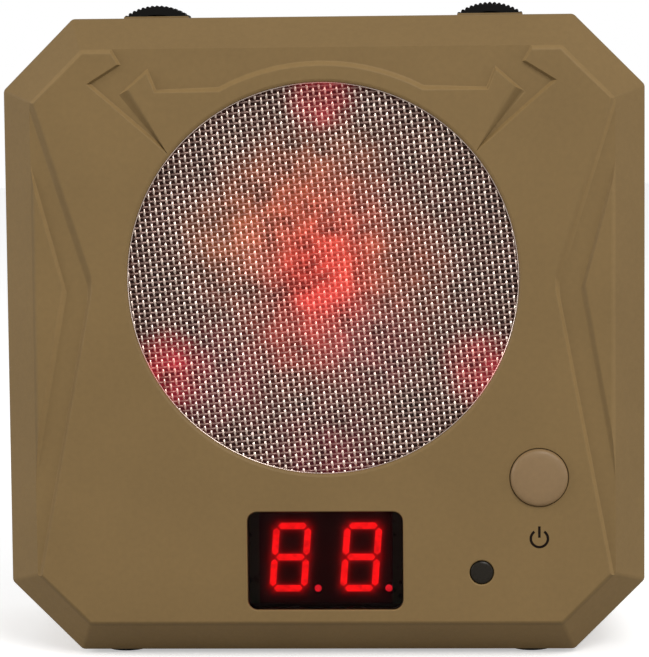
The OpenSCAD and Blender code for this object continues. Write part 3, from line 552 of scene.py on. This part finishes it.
# each soft spot of painted glow: x and z from the middle, how far it reaches, colour
for x, z, size, colour in ((0, 0, 60 * mm, (0.045, 0.01, 0.007)),
                           (0, 0, 15 * mm, (0.27, 0.006, 0.01)),
                           (-1 * mm, 8 * mm, 20 * mm, (0.2, 0.02, 0.012)),
                           (0, 4 * mm, 34 * mm, (0.1, 0.02, 0.012)),
                           (-19 * mm, 8 * mm, 15 * mm, (0.09, 0.03, 0.01)),
                           (-9 * mm, 17 * mm, 17 * mm, (0.1, 0.03, 0.01)),
                           (4 * mm, 22 * mm, 15 * mm, (0.06, 0.02, 0.008)),
                           (15 * mm, 3 * mm, 15 * mm, (0.07, 0.018, 0.007)),
                           (-4 * mm, -11 * mm, 16 * mm, (0.12, 0.008, 0.01)),
                           (9 * mm, -13 * mm, 16 * mm, (0.05, 0.008, 0.015)),
                           (0, rim, 10 * mm, (0.25, 0.02, 0.03)),
                           (-led_x, led_z, 11 * mm, (0.24, 0.01, 0.02)),
                           (led_x, led_z, 11 * mm, (0.24, 0.02, 0.03)),
                           (-22 * mm, -20 * mm, 18 * mm, (0.05, 0.004, 0.01)),
                           (0, -36 * mm, 18 * mm, (0.05, 0.004, 0.01))):
    away = node(glow, "ShaderNodeVectorMath", {0: place, 1: (speaker.x + x, speaker.y, speaker.z + z)},
                operation="DISTANCE").outputs["Value"]
    near = node(glow, "ShaderNodeMapRange", {"Value": away, "From Min": size, "From Max": 0.0},
                interpolation_type="SMOOTHERSTEP").outputs[0]
    patch = shaded(glow, colour, near)
    total = patch if total is None else node(glow, "ShaderNodeVectorMath", {0: total, 1: patch}).outputs[0]
power = reckon(glow, "MULTIPLY", patchy, give["Strength"])
glow.links.new(shaded(glow, total, power), take["Color"])
redness = spread(glow, node(glow, "ShaderNodeSeparateXYZ", {0: total}).outputs["X"], 0.0, 1.0, 0.04, 0.45)
reddened = node(glow, "ShaderNodeMix", {0: redness, 6: (1.0, 1.0, 1.0, 1), 7: (0.95, 0.42, 0.4, 1)},
                data_type="RGBA", blend_type="MIX")
glow.links.new(reddened.outputs[2], take["Tint"])


def paint_red_light_on(material, strength):
    """Paints the red light on a finish: a glow, and a red cast on its own colour."""
    tree = material.node_tree
    light = node(tree, "ShaderNodeGroup", node_tree=glow)
    light.inputs["Strength"].default_value = strength
    shader = tree.nodes["Principled BSDF"]
    tree.links.new(light.outputs["Color"], shader.inputs["Emission Color"])
    shader.inputs["Emission Strength"].default_value = 1.0
    own_colour = shader.inputs["Base Color"].links[0].from_socket
    lit = node(tree, "ShaderNodeVectorMath", {0: own_colour, 1: light.outputs["Tint"]},
               operation="MULTIPLY")
    tree.links.new(lit.outputs[0], shader.inputs["Base Color"])


# lit and shaded copies of one steel: the wires that go across are painted darker, as shade, and the wires
# that go up and down paler, so that glints show only on the crests of the up-and-down wires; the bead at
# the grille's edge takes the paler copy
wire_painted_lit = finish("wire_painted_lit", metal_marks,
                     {"Color": (0.72, 0.6, 0.52, 1), "Along": (1.0, 1.0, 0.2), "Gloss": 0.26, "Depth": 0.2},
                     {"Metallic": 1.0})
wire_painted_shaded = finish("wire_painted_shaded", metal_marks,
                   {"Color": (0.27, 0.19, 0.165, 1), "Along": (0.2, 1.0, 1.0), "Gloss": 0.4, "Depth": 0.2},
                   {"Metallic": 1.0})
# both sets of wires are given the painted red glow and red cast
paint_red_light_on(wire_painted_lit, 0.7)
paint_red_light_on(wire_painted_shaded, 0.9)
wire_r, wave_h = 0.29 * mm, 0.2 * mm
across_step = 1.18 * mm * Vector((math.cos(math.radians(4.3)), 0, math.sin(math.radians(4.3))))
up_step = 1.016 * mm * Vector((-math.sin(math.radians(6.0)), 0, math.cos(math.radians(6.0))))
disc_r = well_r - 0.4 * mm


def wires(name, along, aside, sign, material):
    """One set of parallel wires, each a wave that passes over and under the other set's wires."""
    lines = bpy.data.curves.new(name, "CURVE")
    lines.dimensions = "3D"
    lines.bevel_depth = wire_r
    lines.bevel_resolution = 1
    lines.use_fill_caps = True
    count = int(disc_r / aside.length * 1.1)
    steps = int(disc_r / along.length * 1.1) * 3
    for n in range(-count, count + 1):
        points = []
        for k in range(-steps, steps + 1):
            flat = n * aside + k / 3 * along
            if flat.length < disc_r:
                wave = sign * (-1) ** n * wave_h * math.cos(math.pi * k / 3)
                points.append(flat + Vector((speaker.x, speaker.y + wave, speaker.z)))
        if len(points) > 4:
            line = lines.splines.new("POLY")
            line.points.add(len(points) - 1)
            for at, point in zip(line.points, points):
                at.co = (*point, 1)
    made = bpy.data.objects.new(name, lines)
    bpy.context.scene.collection.objects.link(made)
    only(made)
    bpy.ops.object.convert(target="MESH")
    made = bpy.context.active_object
    bpy.ops.object.shade_smooth()
    put(made, material, "case", "mesh_steel", "grille_mesh")


wires("grille_wires_up", up_step, across_step, 1, wire_painted_lit)
wires("grille_wires_across", across_step, up_step, -1, wire_painted_shaded)

bead_r, bead_y = grille_r - 0.1 * mm, face_y + 0.75 * mm
bead = turned("grille_edge", [(bead_r + 0.14 * mm * math.cos(a), bead_y + 0.14 * mm * math.sin(a))
                              for a in (math.tau * i / 8 for i in range(8))], (speaker.x, speaker.z), 160)
smooth(bead, 60)
put(bead, wire_painted_lit, "case", "mesh_steel")


# ---- Cloth and clamp behind the grille ----
# A thin open cloth keeps dust out of the loudspeaker. A black ring presses it and the wire cloth
# into the well in the face.
def dress(material, *names):
    """Gives a CAD node's slots this finish."""
    for name in names:
        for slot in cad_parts[name].material_slots:
            slot.material = material


threads, give, take = effect(
    "threads", {"Color": (0.5, 0.5, 0.5, 1), "Count": 2500.0, "Depth": 0.5, "Gloss": 0.85})
place = own_place(threads)
split = node(threads, "ShaderNodeSeparateXYZ", {0: place})
weave = reckon(threads, "MULTIPLY", *(
    reckon(threads, "SINE", reckon(threads, "MULTIPLY", split.outputs[axis], give["Count"]))
    for axis in "XZ"))
fuzz = noise(threads, place, 700.0, 4.0)
woven = reckon(threads, "MULTIPLY", spread(threads, weave, 0.8, 1.1, -1.0, 1.0),
               spread(threads, fuzz, 0.8, 1.15, 0.3, 0.7))
give_out(threads, take, shaded(threads, give["Color"], woven),
         reckon(threads, "ADD", give["Gloss"], spread(threads, fuzz, -0.08, 0.08, 0.3, 0.7)),
         weave, 0.00006, give["Depth"])

dust_cloth = finish("dust_cloth", threads, {"Color": (0.05, 0.03, 0.028, 1), "Count": 9000.0})
# the cloth is given the painted red glow and red cast as well
paint_red_light_on(dust_cloth, 0.8)
dress(dust_cloth, "dust_cloth")
black_plastic = finish("black_plastic", moulded,
                       {"Color": (0.0045, 0.004, 0.0035, 1), "Grain": 3500.0, "Depth": 0.3, "Gloss": 0.5},
                       {"Specular IOR Level": 0.12})
dress(black_plastic, "grille_ring")


# ---- Display ----
# Two seven-segment digits, each with a point, shine through a clear smoke-tinted window. The light
# also spreads a little in the dark film that covers their faces.
digit_low, digit_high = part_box("digit_module_left")
digit_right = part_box("digit_module_right")
segment_t, segment_half_w, segment_half_h = 1.32 * mm, 3.2 * mm, 6.4 * mm
lean = math.tan(math.radians(4.4))
film_y = digit_low.y - 0.05 * mm
segments, points_lit = [], []
for left, right in ((digit_low, digit_high), digit_right):
    x, z = (left.x + right.x) / 2, (left.z + right.z) / 2
    for row in (-1, 0, 1):
        segments.append((x + row * segment_half_h * lean, z + row * segment_half_h, 2.9 * mm, 0))
    for side in (-1, 1):
        for row in (-1, 1):
            segments.append((x + side * segment_half_w + row * segment_half_h / 2 * lean,
                             z + row * segment_half_h / 2, 2.78 * mm, 1))
    points_lit.append((x + 5.6 * mm, z - segment_half_h))


def lamp(name, strength, colour, mottle):
    """A finish that gives light, a little unevenly."""
    made = finish(name, moulded, {"Color": (0.3, 0.02, 0.02, 1), "Grain": 3000.0, "Gloss": 0.5})
    tree = made.node_tree
    level = spread(tree, noise(tree, own_place(tree), 900.0, 2.0), 1 - mottle, 1 + mottle, 0.3, 0.7)
    tree.links.new(shaded(tree, colour, level), tree.nodes["Principled BSDF"].inputs["Emission Color"])
    tree.nodes["Principled BSDF"].inputs["Emission Strength"].default_value = strength
    return made


segment_light = lamp("segment_light", 1.0, (1.35, 0.006, 0.01), 0.3)
point_light = lamp("point_light", 1.0, (0.85, 0.012, 0.04), 0.2)
bars = []
for x, z, half, upright in segments:
    square, side = half - segment_t * 0.42, segment_t / 2
    flat = [(-half, 0), (-square, side), (square, side), (half, 0), (square, -side), (-square, -side)]
    if upright:
        flat = [(b, a) for a, b in flat]
    bar = drawn("bar", [(x + a + b * lean, film_y, z + b) for a, b in flat])
    bpy.ops.mesh.extrude_region_move(TRANSFORM_OT_translate={"value": (0, -0.05 * mm, 0)})
    bars.append(closed(bar))
only(*bars)
bpy.ops.object.join()
bars = bpy.context.active_object
bars.name = "digit_segments"
put(bars, segment_light, "case", "digit_plastic")
for i, (x, z) in enumerate(points_lit):
    lit_point = turned(f"digit_point_{i}", [(0, film_y - 0.05 * mm), (0.6 * mm, film_y - 0.05 * mm),
                                            (0.72 * mm, film_y), (0, film_y)], (x, z), 32)
    smooth(lit_point)
    put(lit_point, point_light, "case", "digit_plastic")

# dark film over the digits' faces; glow is how much of the segments' light reaches each place in it
bpy.ops.object.select_all(action="DESELECT")
bpy.ops.mesh.primitive_grid_add(x_subdivisions=110, y_subdivisions=74, size=1,
                                location=(0, film_y + 0.02 * mm, (digit_low.z + digit_high.z) / 2),
                                rotation=(math.pi / 2, 0, 0))
film = bpy.context.active_object
film.name = "digit_film"
film.scale = (2 * digit_right[1].x, digit_high.z - digit_low.z, 1)
bpy.ops.object.transform_apply(location=True, rotation=True, scale=True)
glow_here = film.data.attributes.new("glow", "FLOAT", "POINT")
for corner in film.data.vertices:
    total = 0
    for x, z, half, upright in segments:
        b = corner.co.z - z
        a = corner.co.x - x - b * lean
        if upright:
            a, b = b, a
        gap = math.hypot(max(abs(a) - half, 0), max(abs(b) - segment_t / 2, 0))
        total += math.exp(-gap / (0.4 * mm)) + 0.035 * math.exp(-gap / (2.0 * mm))
    glow_here.data[corner.index].value = total
digit_film = finish("digit_film", moulded,
                    {"Color": (0.002, 0.001, 0.001, 1), "Grain": 2500.0, "Gloss": 0.5},
                    {"Specular IOR Level": 0.03})
tree = digit_film.node_tree
reach = node(tree, "ShaderNodeAttribute", attribute_name="glow")
tree.links.new(shaded(tree, (0.3, 0.004, 0.006), reach.outputs["Fac"]),
               tree.nodes["Principled BSDF"].inputs["Emission Color"])
tree.nodes["Principled BSDF"].inputs["Emission Strength"].default_value = 1.0
put(film, digit_film, "case", "digit_plastic")

# window: a clear moulded pane with a flange behind the face
tinted = finish("tinted_window", moulded,
                {"Color": (0.62, 0.3, 0.3, 1), "Grain": 300.0, "Depth": 0.02, "Gloss": 0.06},
                {"Transmission Weight": 1.0, "IOR": 1.14})


def slab(name, outline, start, end, axis=1):
    """An outline drawn out along one axis: (x, z) from front to back, or (y, z) from side to side."""
    made = drawn(name, [(level, start, up) if axis else (start, level, up) for level, up in outline])
    drawn_out = (0, end - start, 0) if axis else (end - start, 0, 0)
    bpy.ops.mesh.extrude_region_move(TRANSFORM_OT_translate={"value": drawn_out})
    return closed(made)


pane = slab("window_pane", rounded(window_w - 0.2 * mm, window_h - 0.2 * mm, 1.9 * mm, 0, window.z),
            window_low.y, window_high.y - mm)
soften(pane, 0.22 * mm, 40, 3)
flange_w, flange_h = window_high.x - window_low.x, window_high.z - window_low.z
carve(pane, slab("flange", rounded(flange_w, flange_h, 2 * mm, 0, window.z),
                 window_high.y - mm, window_high.y), "UNION")
smooth(pane)
put(pane, tinted, "case", "window_plastic", "display_window")


# ---- Front controls ----
# The power button is a turned cap with a slightly crowned face, held from behind by its flange.
# Under it the face carries a pad-printed power symbol, and beside that is the infrared eye.
button_plastic = finish("button_plastic", moulded,
                        {"Color": (0.222, 0.138, 0.062, 1), "Grain": 2600.0, "Depth": 0.25, "Gloss": 0.5},
                        {"Specular IOR Level": 0.4})
front_y, back_y = button_low.y, button_high.y
plate_y = face_y + wall
cap = turned("power_button_cap", [
    (0, front_y), (2 * mm, front_y + 0.02 * mm), (4 * mm, front_y + 0.1 * mm),
    (4.9 * mm, front_y + 0.2 * mm),
    (5.35 * mm, front_y + 0.36 * mm), (5.65 * mm, front_y + 0.62 * mm), (button_r, front_y + mm),
    (button_r, plate_y), (button_r + 1.2 * mm, plate_y), (button_r + 1.2 * mm, plate_y + 1.2 * mm),
    (2 * mm, plate_y + 1.2 * mm), (2 * mm, back_y), (0, back_y)], (button.x, button.z), 96)
smooth(cap, 35)
put(cap, button_plastic, "button", "button_plastic", "power_button")

symbol_ink = finish("symbol_ink", moulded,
                    {"Color": (0.007, 0.003, 0.001, 1), "Grain": 5000.0, "Gloss": 0.6},
                    {"Specular IOR Level": 0.1})
symbol_z = base_z + 24.2 * mm
symbol_at = (button.x, face_y, symbol_z)
bpy.ops.object.select_all(action="DESELECT")
bpy.ops.mesh.primitive_plane_add(size=1, location=(button.x + 1.72 * mm, face_y, symbol_z))
mark = bpy.context.active_object
mark.name = "power_symbol"
mark.scale = (0.5 * mm, 0.05 * mm, 1)
bpy.ops.object.transform_apply(location=True, rotation=True, scale=True)
bpy.ops.object.mode_set(mode="EDIT")
bpy.ops.mesh.select_all(action="SELECT")
bpy.ops.transform.rotate(value=math.radians(125), orient_axis="Y", center_override=symbol_at)
bpy.ops.mesh.select_all(action="SELECT")
bpy.ops.mesh.spin(steps=48, angle=math.radians(290), center=symbol_at, axis=(0, 1, 0))
closed(mark)
bar = block("bar", (button.x - 0.25 * mm, face_y - 0.025 * mm, symbol_z + 0.2 * mm),
            (button.x + 0.25 * mm, face_y + 0.025 * mm, symbol_z + 2.5 * mm))
bpy.ops.object.mode_set(mode="OBJECT")
only(bar, mark)
bpy.ops.object.join()
put(mark, symbol_ink, "case", "case_plastic")

eye_plastic = finish("eye_plastic", moulded,
                     {"Color": (0.012, 0.009, 0.005, 1), "Grain": 2000.0, "Depth": 0.1, "Gloss": 0.3},
                     {"Specular IOR Level": 0.25})
lens = turned("infrared_eye", [
    (0, face_y + 0.02 * mm), (1.6 * mm, face_y + 0.03 * mm), (2.1 * mm, face_y + 0.1 * mm),
    (2.33 * mm, face_y + 0.28 * mm), (2.4 * mm, face_y + 0.5 * mm), (2.4 * mm, plate_y),
    (3.4 * mm, plate_y), (3.4 * mm, eye_high.y), (0, eye_high.y)], (ir_eye.x, ir_eye.z), 64)
smooth(lens, 35)
put(lens, eye_plastic, "case", "ir_plastic", "ir_window")


# ---- Thumbwheels ----
# Two toothed wheels on the shafts of their potentiometers stand out of the top of the case.
# Each is dished in front, where a cross-head screw holds it.
teeth, tooth_h = 72, 0.38 * mm
for name, side in (("volume", -1), ("tone", 1)):
    edge = []
    for i in range(teeth * 6):
        turn_here = math.tau * i / (teeth * 6)
        here = wheel_r - tooth_h * (1 - abs(math.cos(turn_here * teeth / 2)))
        edge.append((side * wheel_x + here * math.cos(turn_here), wheel_z + here * math.sin(turn_here)))
    wheel = slab(name + "_thumbwheel", edge, wheel_low.y, wheel_high.y)
    carve(wheel, turned("dish", [(3.4 * mm, wheel_low.y - mm), (9.4 * mm, wheel_low.y - mm),
                                 (9.4 * mm, wheel_low.y), (8.8 * mm, wheel_low.y + 0.8 * mm),
                                 (3.6 * mm, wheel_low.y + 0.8 * mm), (3.4 * mm, wheel_low.y)],
                        (side * wheel_x, wheel_z), 64))
    carve(wheel, post(1.5 * mm, side * wheel_x, wheel_z, wheel_low.y - mm, wheel_high.y + mm))
    smooth(wheel, 25)
    put(wheel, black_plastic, name, "black_plastic", name + "_wheel")


# ---- Back half of the case ----
# A deeper moulding with the battery opening, a plain sunk panel and the heads of four long screws.
# The sockets for charging, a memory card and a second loudspeaker open in its right-hand side.
rear_y = case_high.y
rear_in = rear_y - 2.6 * mm
rear = outline_block("rear_shell_moulding", 0, split_y, rear_y)
pick("edges", lambda e: min(v.co.y for v in e.verts) > rear_y - 0.01 * mm)
bpy.ops.mesh.bevel(offset=3 * mm, segments=1)
bpy.ops.object.mode_set(mode="OBJECT")
soften(rear, 0.45 * mm, 15)
hollow = outline_block("hollow", wall, split_y - mm, rear_in)
bpy.ops.object.mode_set(mode="OBJECT")
carve(rear, hollow)
door_low, door_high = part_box("battery_door")
frame_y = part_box("battery_tray")[1].y
door_gap, tab_low = 0.3 * mm, base_z + 57 * mm
opening_low, opening_high = door_low.z - door_gap, tab_low + door_gap
opening_x = door_high.x + door_gap
board_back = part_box("main_board")[1].y


def cut_block(piece, low, high, radius=0.0, axis=1, operation="DIFFERENCE"):
    """Cuts or joins a block whose edges along one axis may be rounded."""
    tool = block("tool", low, high)
    if radius:
        pick("edges", runs_along(axis))
        bpy.ops.mesh.bevel(offset=radius, segments=5)
    bpy.ops.object.mode_set(mode="OBJECT")
    carve(piece, tool, operation)


def rod(radius, length, place, vertices=64, rotation=(0, 0, 0)):
    bpy.ops.object.select_all(action="DESELECT")
    bpy.ops.mesh.primitive_cylinder_add(vertices=vertices, radius=radius, depth=length, location=place,
                                        rotation=rotation)
    return bpy.context.active_object


root_y = rear_in + 0.3 * mm
case_screws = [(sx * screw_x, screw_z + sz * screw_rise) for sx in (-1, 1) for sz in (-1, 1)]
cut_block(rear, (-43 * mm, frame_y, base_z + 8.2 * mm), (43 * mm, root_y, base_z + 60 * mm),
          operation="UNION")
for x, z in case_screws:
    carve(rear, post(5 * mm, x, z, split_y, root_y), "UNION")
for x, z in ((-44, 67), (34, 66), (-44, 117), (44, 117)):
    carve(rear, post(2.8 * mm, x * mm, base_z + z * mm, board_back, root_y), "UNION")
opening = rounded(2 * opening_x, opening_high - opening_low, 0.3 * mm, 0,
                  (opening_high + opening_low) / 2)
rim_steps = [(0.1 * mm, 0.04 * mm), (0.1 * mm, 0.1 * mm), (0.05 * mm, 0.12 * mm), (0, 8 * mm)]
carve(rear, pocket("door_opening", grown(opening, 0.25 * mm), rear_y, rim_steps))
carve(rear, pocket("label_panel", rounded(72 * mm, 44 * mm, 4 * mm, 0, base_z + 92 * mm), rear_y,
                   [(0.2 * mm, 0.1 * mm), (0.3 * mm, 0.4 * mm), (0.2 * mm, 0.1 * mm)]))
cut_block(rear, (-7.5 * mm, rear_y - 1.9 * mm, base_z + 56 * mm),
          (7.5 * mm, rear_y + mm, base_z + 60.2 * mm), 1.2 * mm)
for at in case_screws:
    carve(rear, turned("screw_well", [(0, rear_y + mm), (4.1 * mm, rear_y + mm), (3.7 * mm, rear_y),
                                      (3.45 * mm, rear_y - 0.3 * mm), (3.4 * mm, rear_y - mm),
                                      (3.4 * mm, 2 * mm), (1.7 * mm, 2 * mm), (1.7 * mm, split_y - mm),
                                      (0, split_y - mm)], at, 48))
# slots of the charging socket and the card: depths, heights over the base, corner radius, in millimetres
for y0, y1, z0, z1, radius in ((17.5, 21.3, 84.2, 93.8, 1.85), (18.8, 21.2, 62.7, 75.3, 0.4)):
    cut_block(rear, (half_w - 4 * mm, y0 * mm, base_z + z0 * mm), (half_w + mm, y1 * mm, base_z + z1 * mm),
              radius * mm, 0)
carve(rear, rod(2.8 * mm, 6 * mm, (half_w - mm, 18 * mm, base_z + 80 * mm), 48, (0, math.pi / 2, 0)))
# boss and bore of the tripod insert
carve(rear, rod(7 * mm, 11 * mm, (0, 0, base_z + 6.5 * mm)), "UNION")
carve(rear, rod(4.9 * mm, 12 * mm, (0, 0, base_z + 3.5 * mm)))
smooth(rear)
put(rear, case_plastic, "case", "case_plastic", "rear_shell")


# ---- Battery door ----
# A flat door that hangs on a steel pin along its lower edge and snaps in with a tab at the top.
# Four short grooves under the tab give a thumb some grip.
barrel_r = 1.8 * mm
hinge_y, hinge_z = rear_y - barrel_r, door_low.z + barrel_r
barrel = [(hinge_y + barrel_r * math.cos(a), hinge_z + barrel_r * math.sin(a))
          for a in (math.radians(-d) for d in range(0, 241, 10))]
join_z = hinge_z + math.sqrt(barrel_r ** 2 - (rear_in - hinge_y) ** 2)
door = slab("battery_door_moulding",
            [(rear_y, tab_low)] + barrel + [(rear_in, join_z), (rear_in, tab_low)],
            door_low.x, door_high.x, 0)
cut_block(door, (-7 * mm, rear_y - 1.6 * mm, tab_low - mm), (7 * mm, rear_y, door_high.z),
          operation="UNION")
soften(door, 0.25 * mm, 40, 2)
for i in range(4):
    groove_z = tab_low - (3.2 + 1.8 * i) * mm
    cut_block(door, (-6 * mm, rear_y - 0.5 * mm, groove_z),
              (6 * mm, rear_y + mm, groove_z + 0.8 * mm), 0.39 * mm)
carve(door, rod(0.95 * mm, 3 * door_high.x, (0, hinge_y, hinge_z), 32, (0, math.pi / 2, 0)))
smooth(door)
put(door, case_plastic, "door", "case_plastic", "battery_door")


# ---- Screws, feet, seals and sockets ----
# Metal parts are zinc or nickel plated and drawn or turned; the feet, the cord round the joint
# and the loudspeaker's surround are black rubber; both gaskets are closed-cell foam.
for name, colour, along, gloss, nodes in (
        ("zinc_plated_steel", (0.52, 0.53, 0.55, 1), (1.0, 0.15, 1.0), 0.3,
         ("case_screws", "top_plate", "back_plate", "speaker_screws", "volume_wheel_screw",
          "tone_wheel_screw", "board_screws", "door_hinge_pin")),
        ("nickel_plated_steel", (0.66, 0.62, 0.55, 1), (0.15, 1.0, 1.0), 0.24,
         ("volume_shaft", "tone_shaft", "usb_socket", "card_socket", "contact_plates", "contact_springs")),
        ("turned_brass", (0.66, 0.46, 0.17, 1), (0.3, 0.3, 1.0), 0.26, ("tripod_insert",)),
        ("drawn_aluminium", (0.7, 0.71, 0.72, 1), (1.0, 1.0, 0.1), 0.34, ("heatsink", "capacitors")),
        ("copper_winding", (0.72, 0.3, 0.14, 1), (0.05, 1.0, 0.05), 0.34, ("voice_coil",))):
    dress(finish(name, metal_marks, {"Color": colour, "Along": along, "Gloss": gloss, "Depth": 0.4},
                 {"Metallic": 1.0}), *nodes)
for name, colour, grain, depth, gloss, nodes in (
        ("black_rubber", (0.016, 0.016, 0.016, 1), 1500.0, 0.4, 0.8,
         ("case_gasket", "rubber_feet", "speaker_surround")),
        ("foam", (0.03, 0.03, 0.032, 1), 900.0, 1.0, 0.95, ("speaker_gasket", "door_seal")),
        ("painted_steel", (0.02, 0.02, 0.022, 1), 700.0, 0.3, 0.4, ("speaker_basket",)),
        ("ferrite", (0.045, 0.045, 0.05, 1), 1200.0, 0.6, 0.6, ("magnet",)),
        ("chip_epoxy", (0.014, 0.014, 0.016, 1), 2200.0, 0.5, 0.55, ("amplifier_chip", "processor_chip")),
        ("cable_sheath", (0.3, 0.02, 0.015, 1), 700.0, 0.2, 0.45,
         ("speaker_leads", "battery_leads", "ribbon_cable")),
        ("digit_housing", (0.003, 0.003, 0.003, 1), 2600.0, 0.3, 0.9,
         ("digit_module_left", "digit_module_right")),
        ("receiver_plastic", (0.02, 0.012, 0.012, 1), 2000.0, 0.1, 0.25, ("ir_receiver",))):
    dress(finish(name, moulded, {"Color": colour, "Grain": grain, "Depth": depth, "Gloss": gloss}), *nodes)
dress(black_plastic, "switch_plunger", "power_switch", "volume_pot", "tone_pot", "aux_socket",
      "battery_tray")
dress(lamp("rim_led_light", 3.0, (1.0, 0.05, 0.08), 0.3), "rim_leds")
for name, colour, count, depth, nodes in (
        ("cone_paper", (0.045, 0.04, 0.036, 1), 5200.0, 0.35, ("speaker_cone", "dust_cap")),
        ("spider_cloth", (0.42, 0.27, 0.1, 1), 9000.0, 0.8, ("spider",))):
    dress(finish(name, threads, {"Color": colour, "Count": count, "Depth": depth}), *nodes)


# ---- Circuit boards and cells ----
# Boards have a green solder mask with the copper tracks showing through it. The two cells have a
# heat-shrunk sleeve with a darker band at each end.
tracks, give, take = effect("tracks", {"Color": (0.5, 0.5, 0.5, 1), "Pitch": 700.0})
cells = node(tracks, "ShaderNodeVectorMath", {0: own_place(tracks), 1: (1.0, 0.0, 1.0)},
             operation="MULTIPLY")
routes = node(tracks, "ShaderNodeTexVoronoi", {"Vector": cells.outputs[0], "Scale": give["Pitch"]},
              distance="MANHATTAN", feature="F1")
line = spread(tracks, routes.outputs["Distance"], 0.7, 1.5, 0.42, 0.5)
give_out(tracks, take, shaded(tracks, give["Color"], line),
         spread(tracks, routes.outputs["Distance"], 0.22, 0.4, 0.3, 0.6), line, 0.00004, 0.4)
dress(finish("circuit_board", tracks, {"Color": (0.012, 0.11, 0.04, 1), "Pitch": 520.0}),
      "led_board", "front_board", "pot_board", "main_board")

sleeve, give, take = effect("sleeve", {"Color": (0.5, 0.5, 0.5, 1)})
place = own_place(sleeve)
from_middle = reckon(sleeve, "ABSOLUTE", node(sleeve, "ShaderNodeSeparateXYZ", {0: place}).outputs["X"])
band = spread(sleeve, from_middle, 1.0, 0.15, 25.5 * mm, 26 * mm)
wrinkles = noise(sleeve, place, 220.0, 3.0)
uneven = reckon(sleeve, "MULTIPLY", band, spread(sleeve, wrinkles, 0.9, 1.1, 0.3, 0.7))
give_out(sleeve, take, shaded(sleeve, give["Color"], uneven),
         spread(sleeve, wrinkles, 0.28, 0.4, 0.3, 0.7), wrinkles, 0.0002, 0.4)
dress(finish("cell_sleeve", sleeve, {"Color": (0.03, 0.09, 0.3, 1)}),
      "battery_cell_upper", "battery_cell_lower")
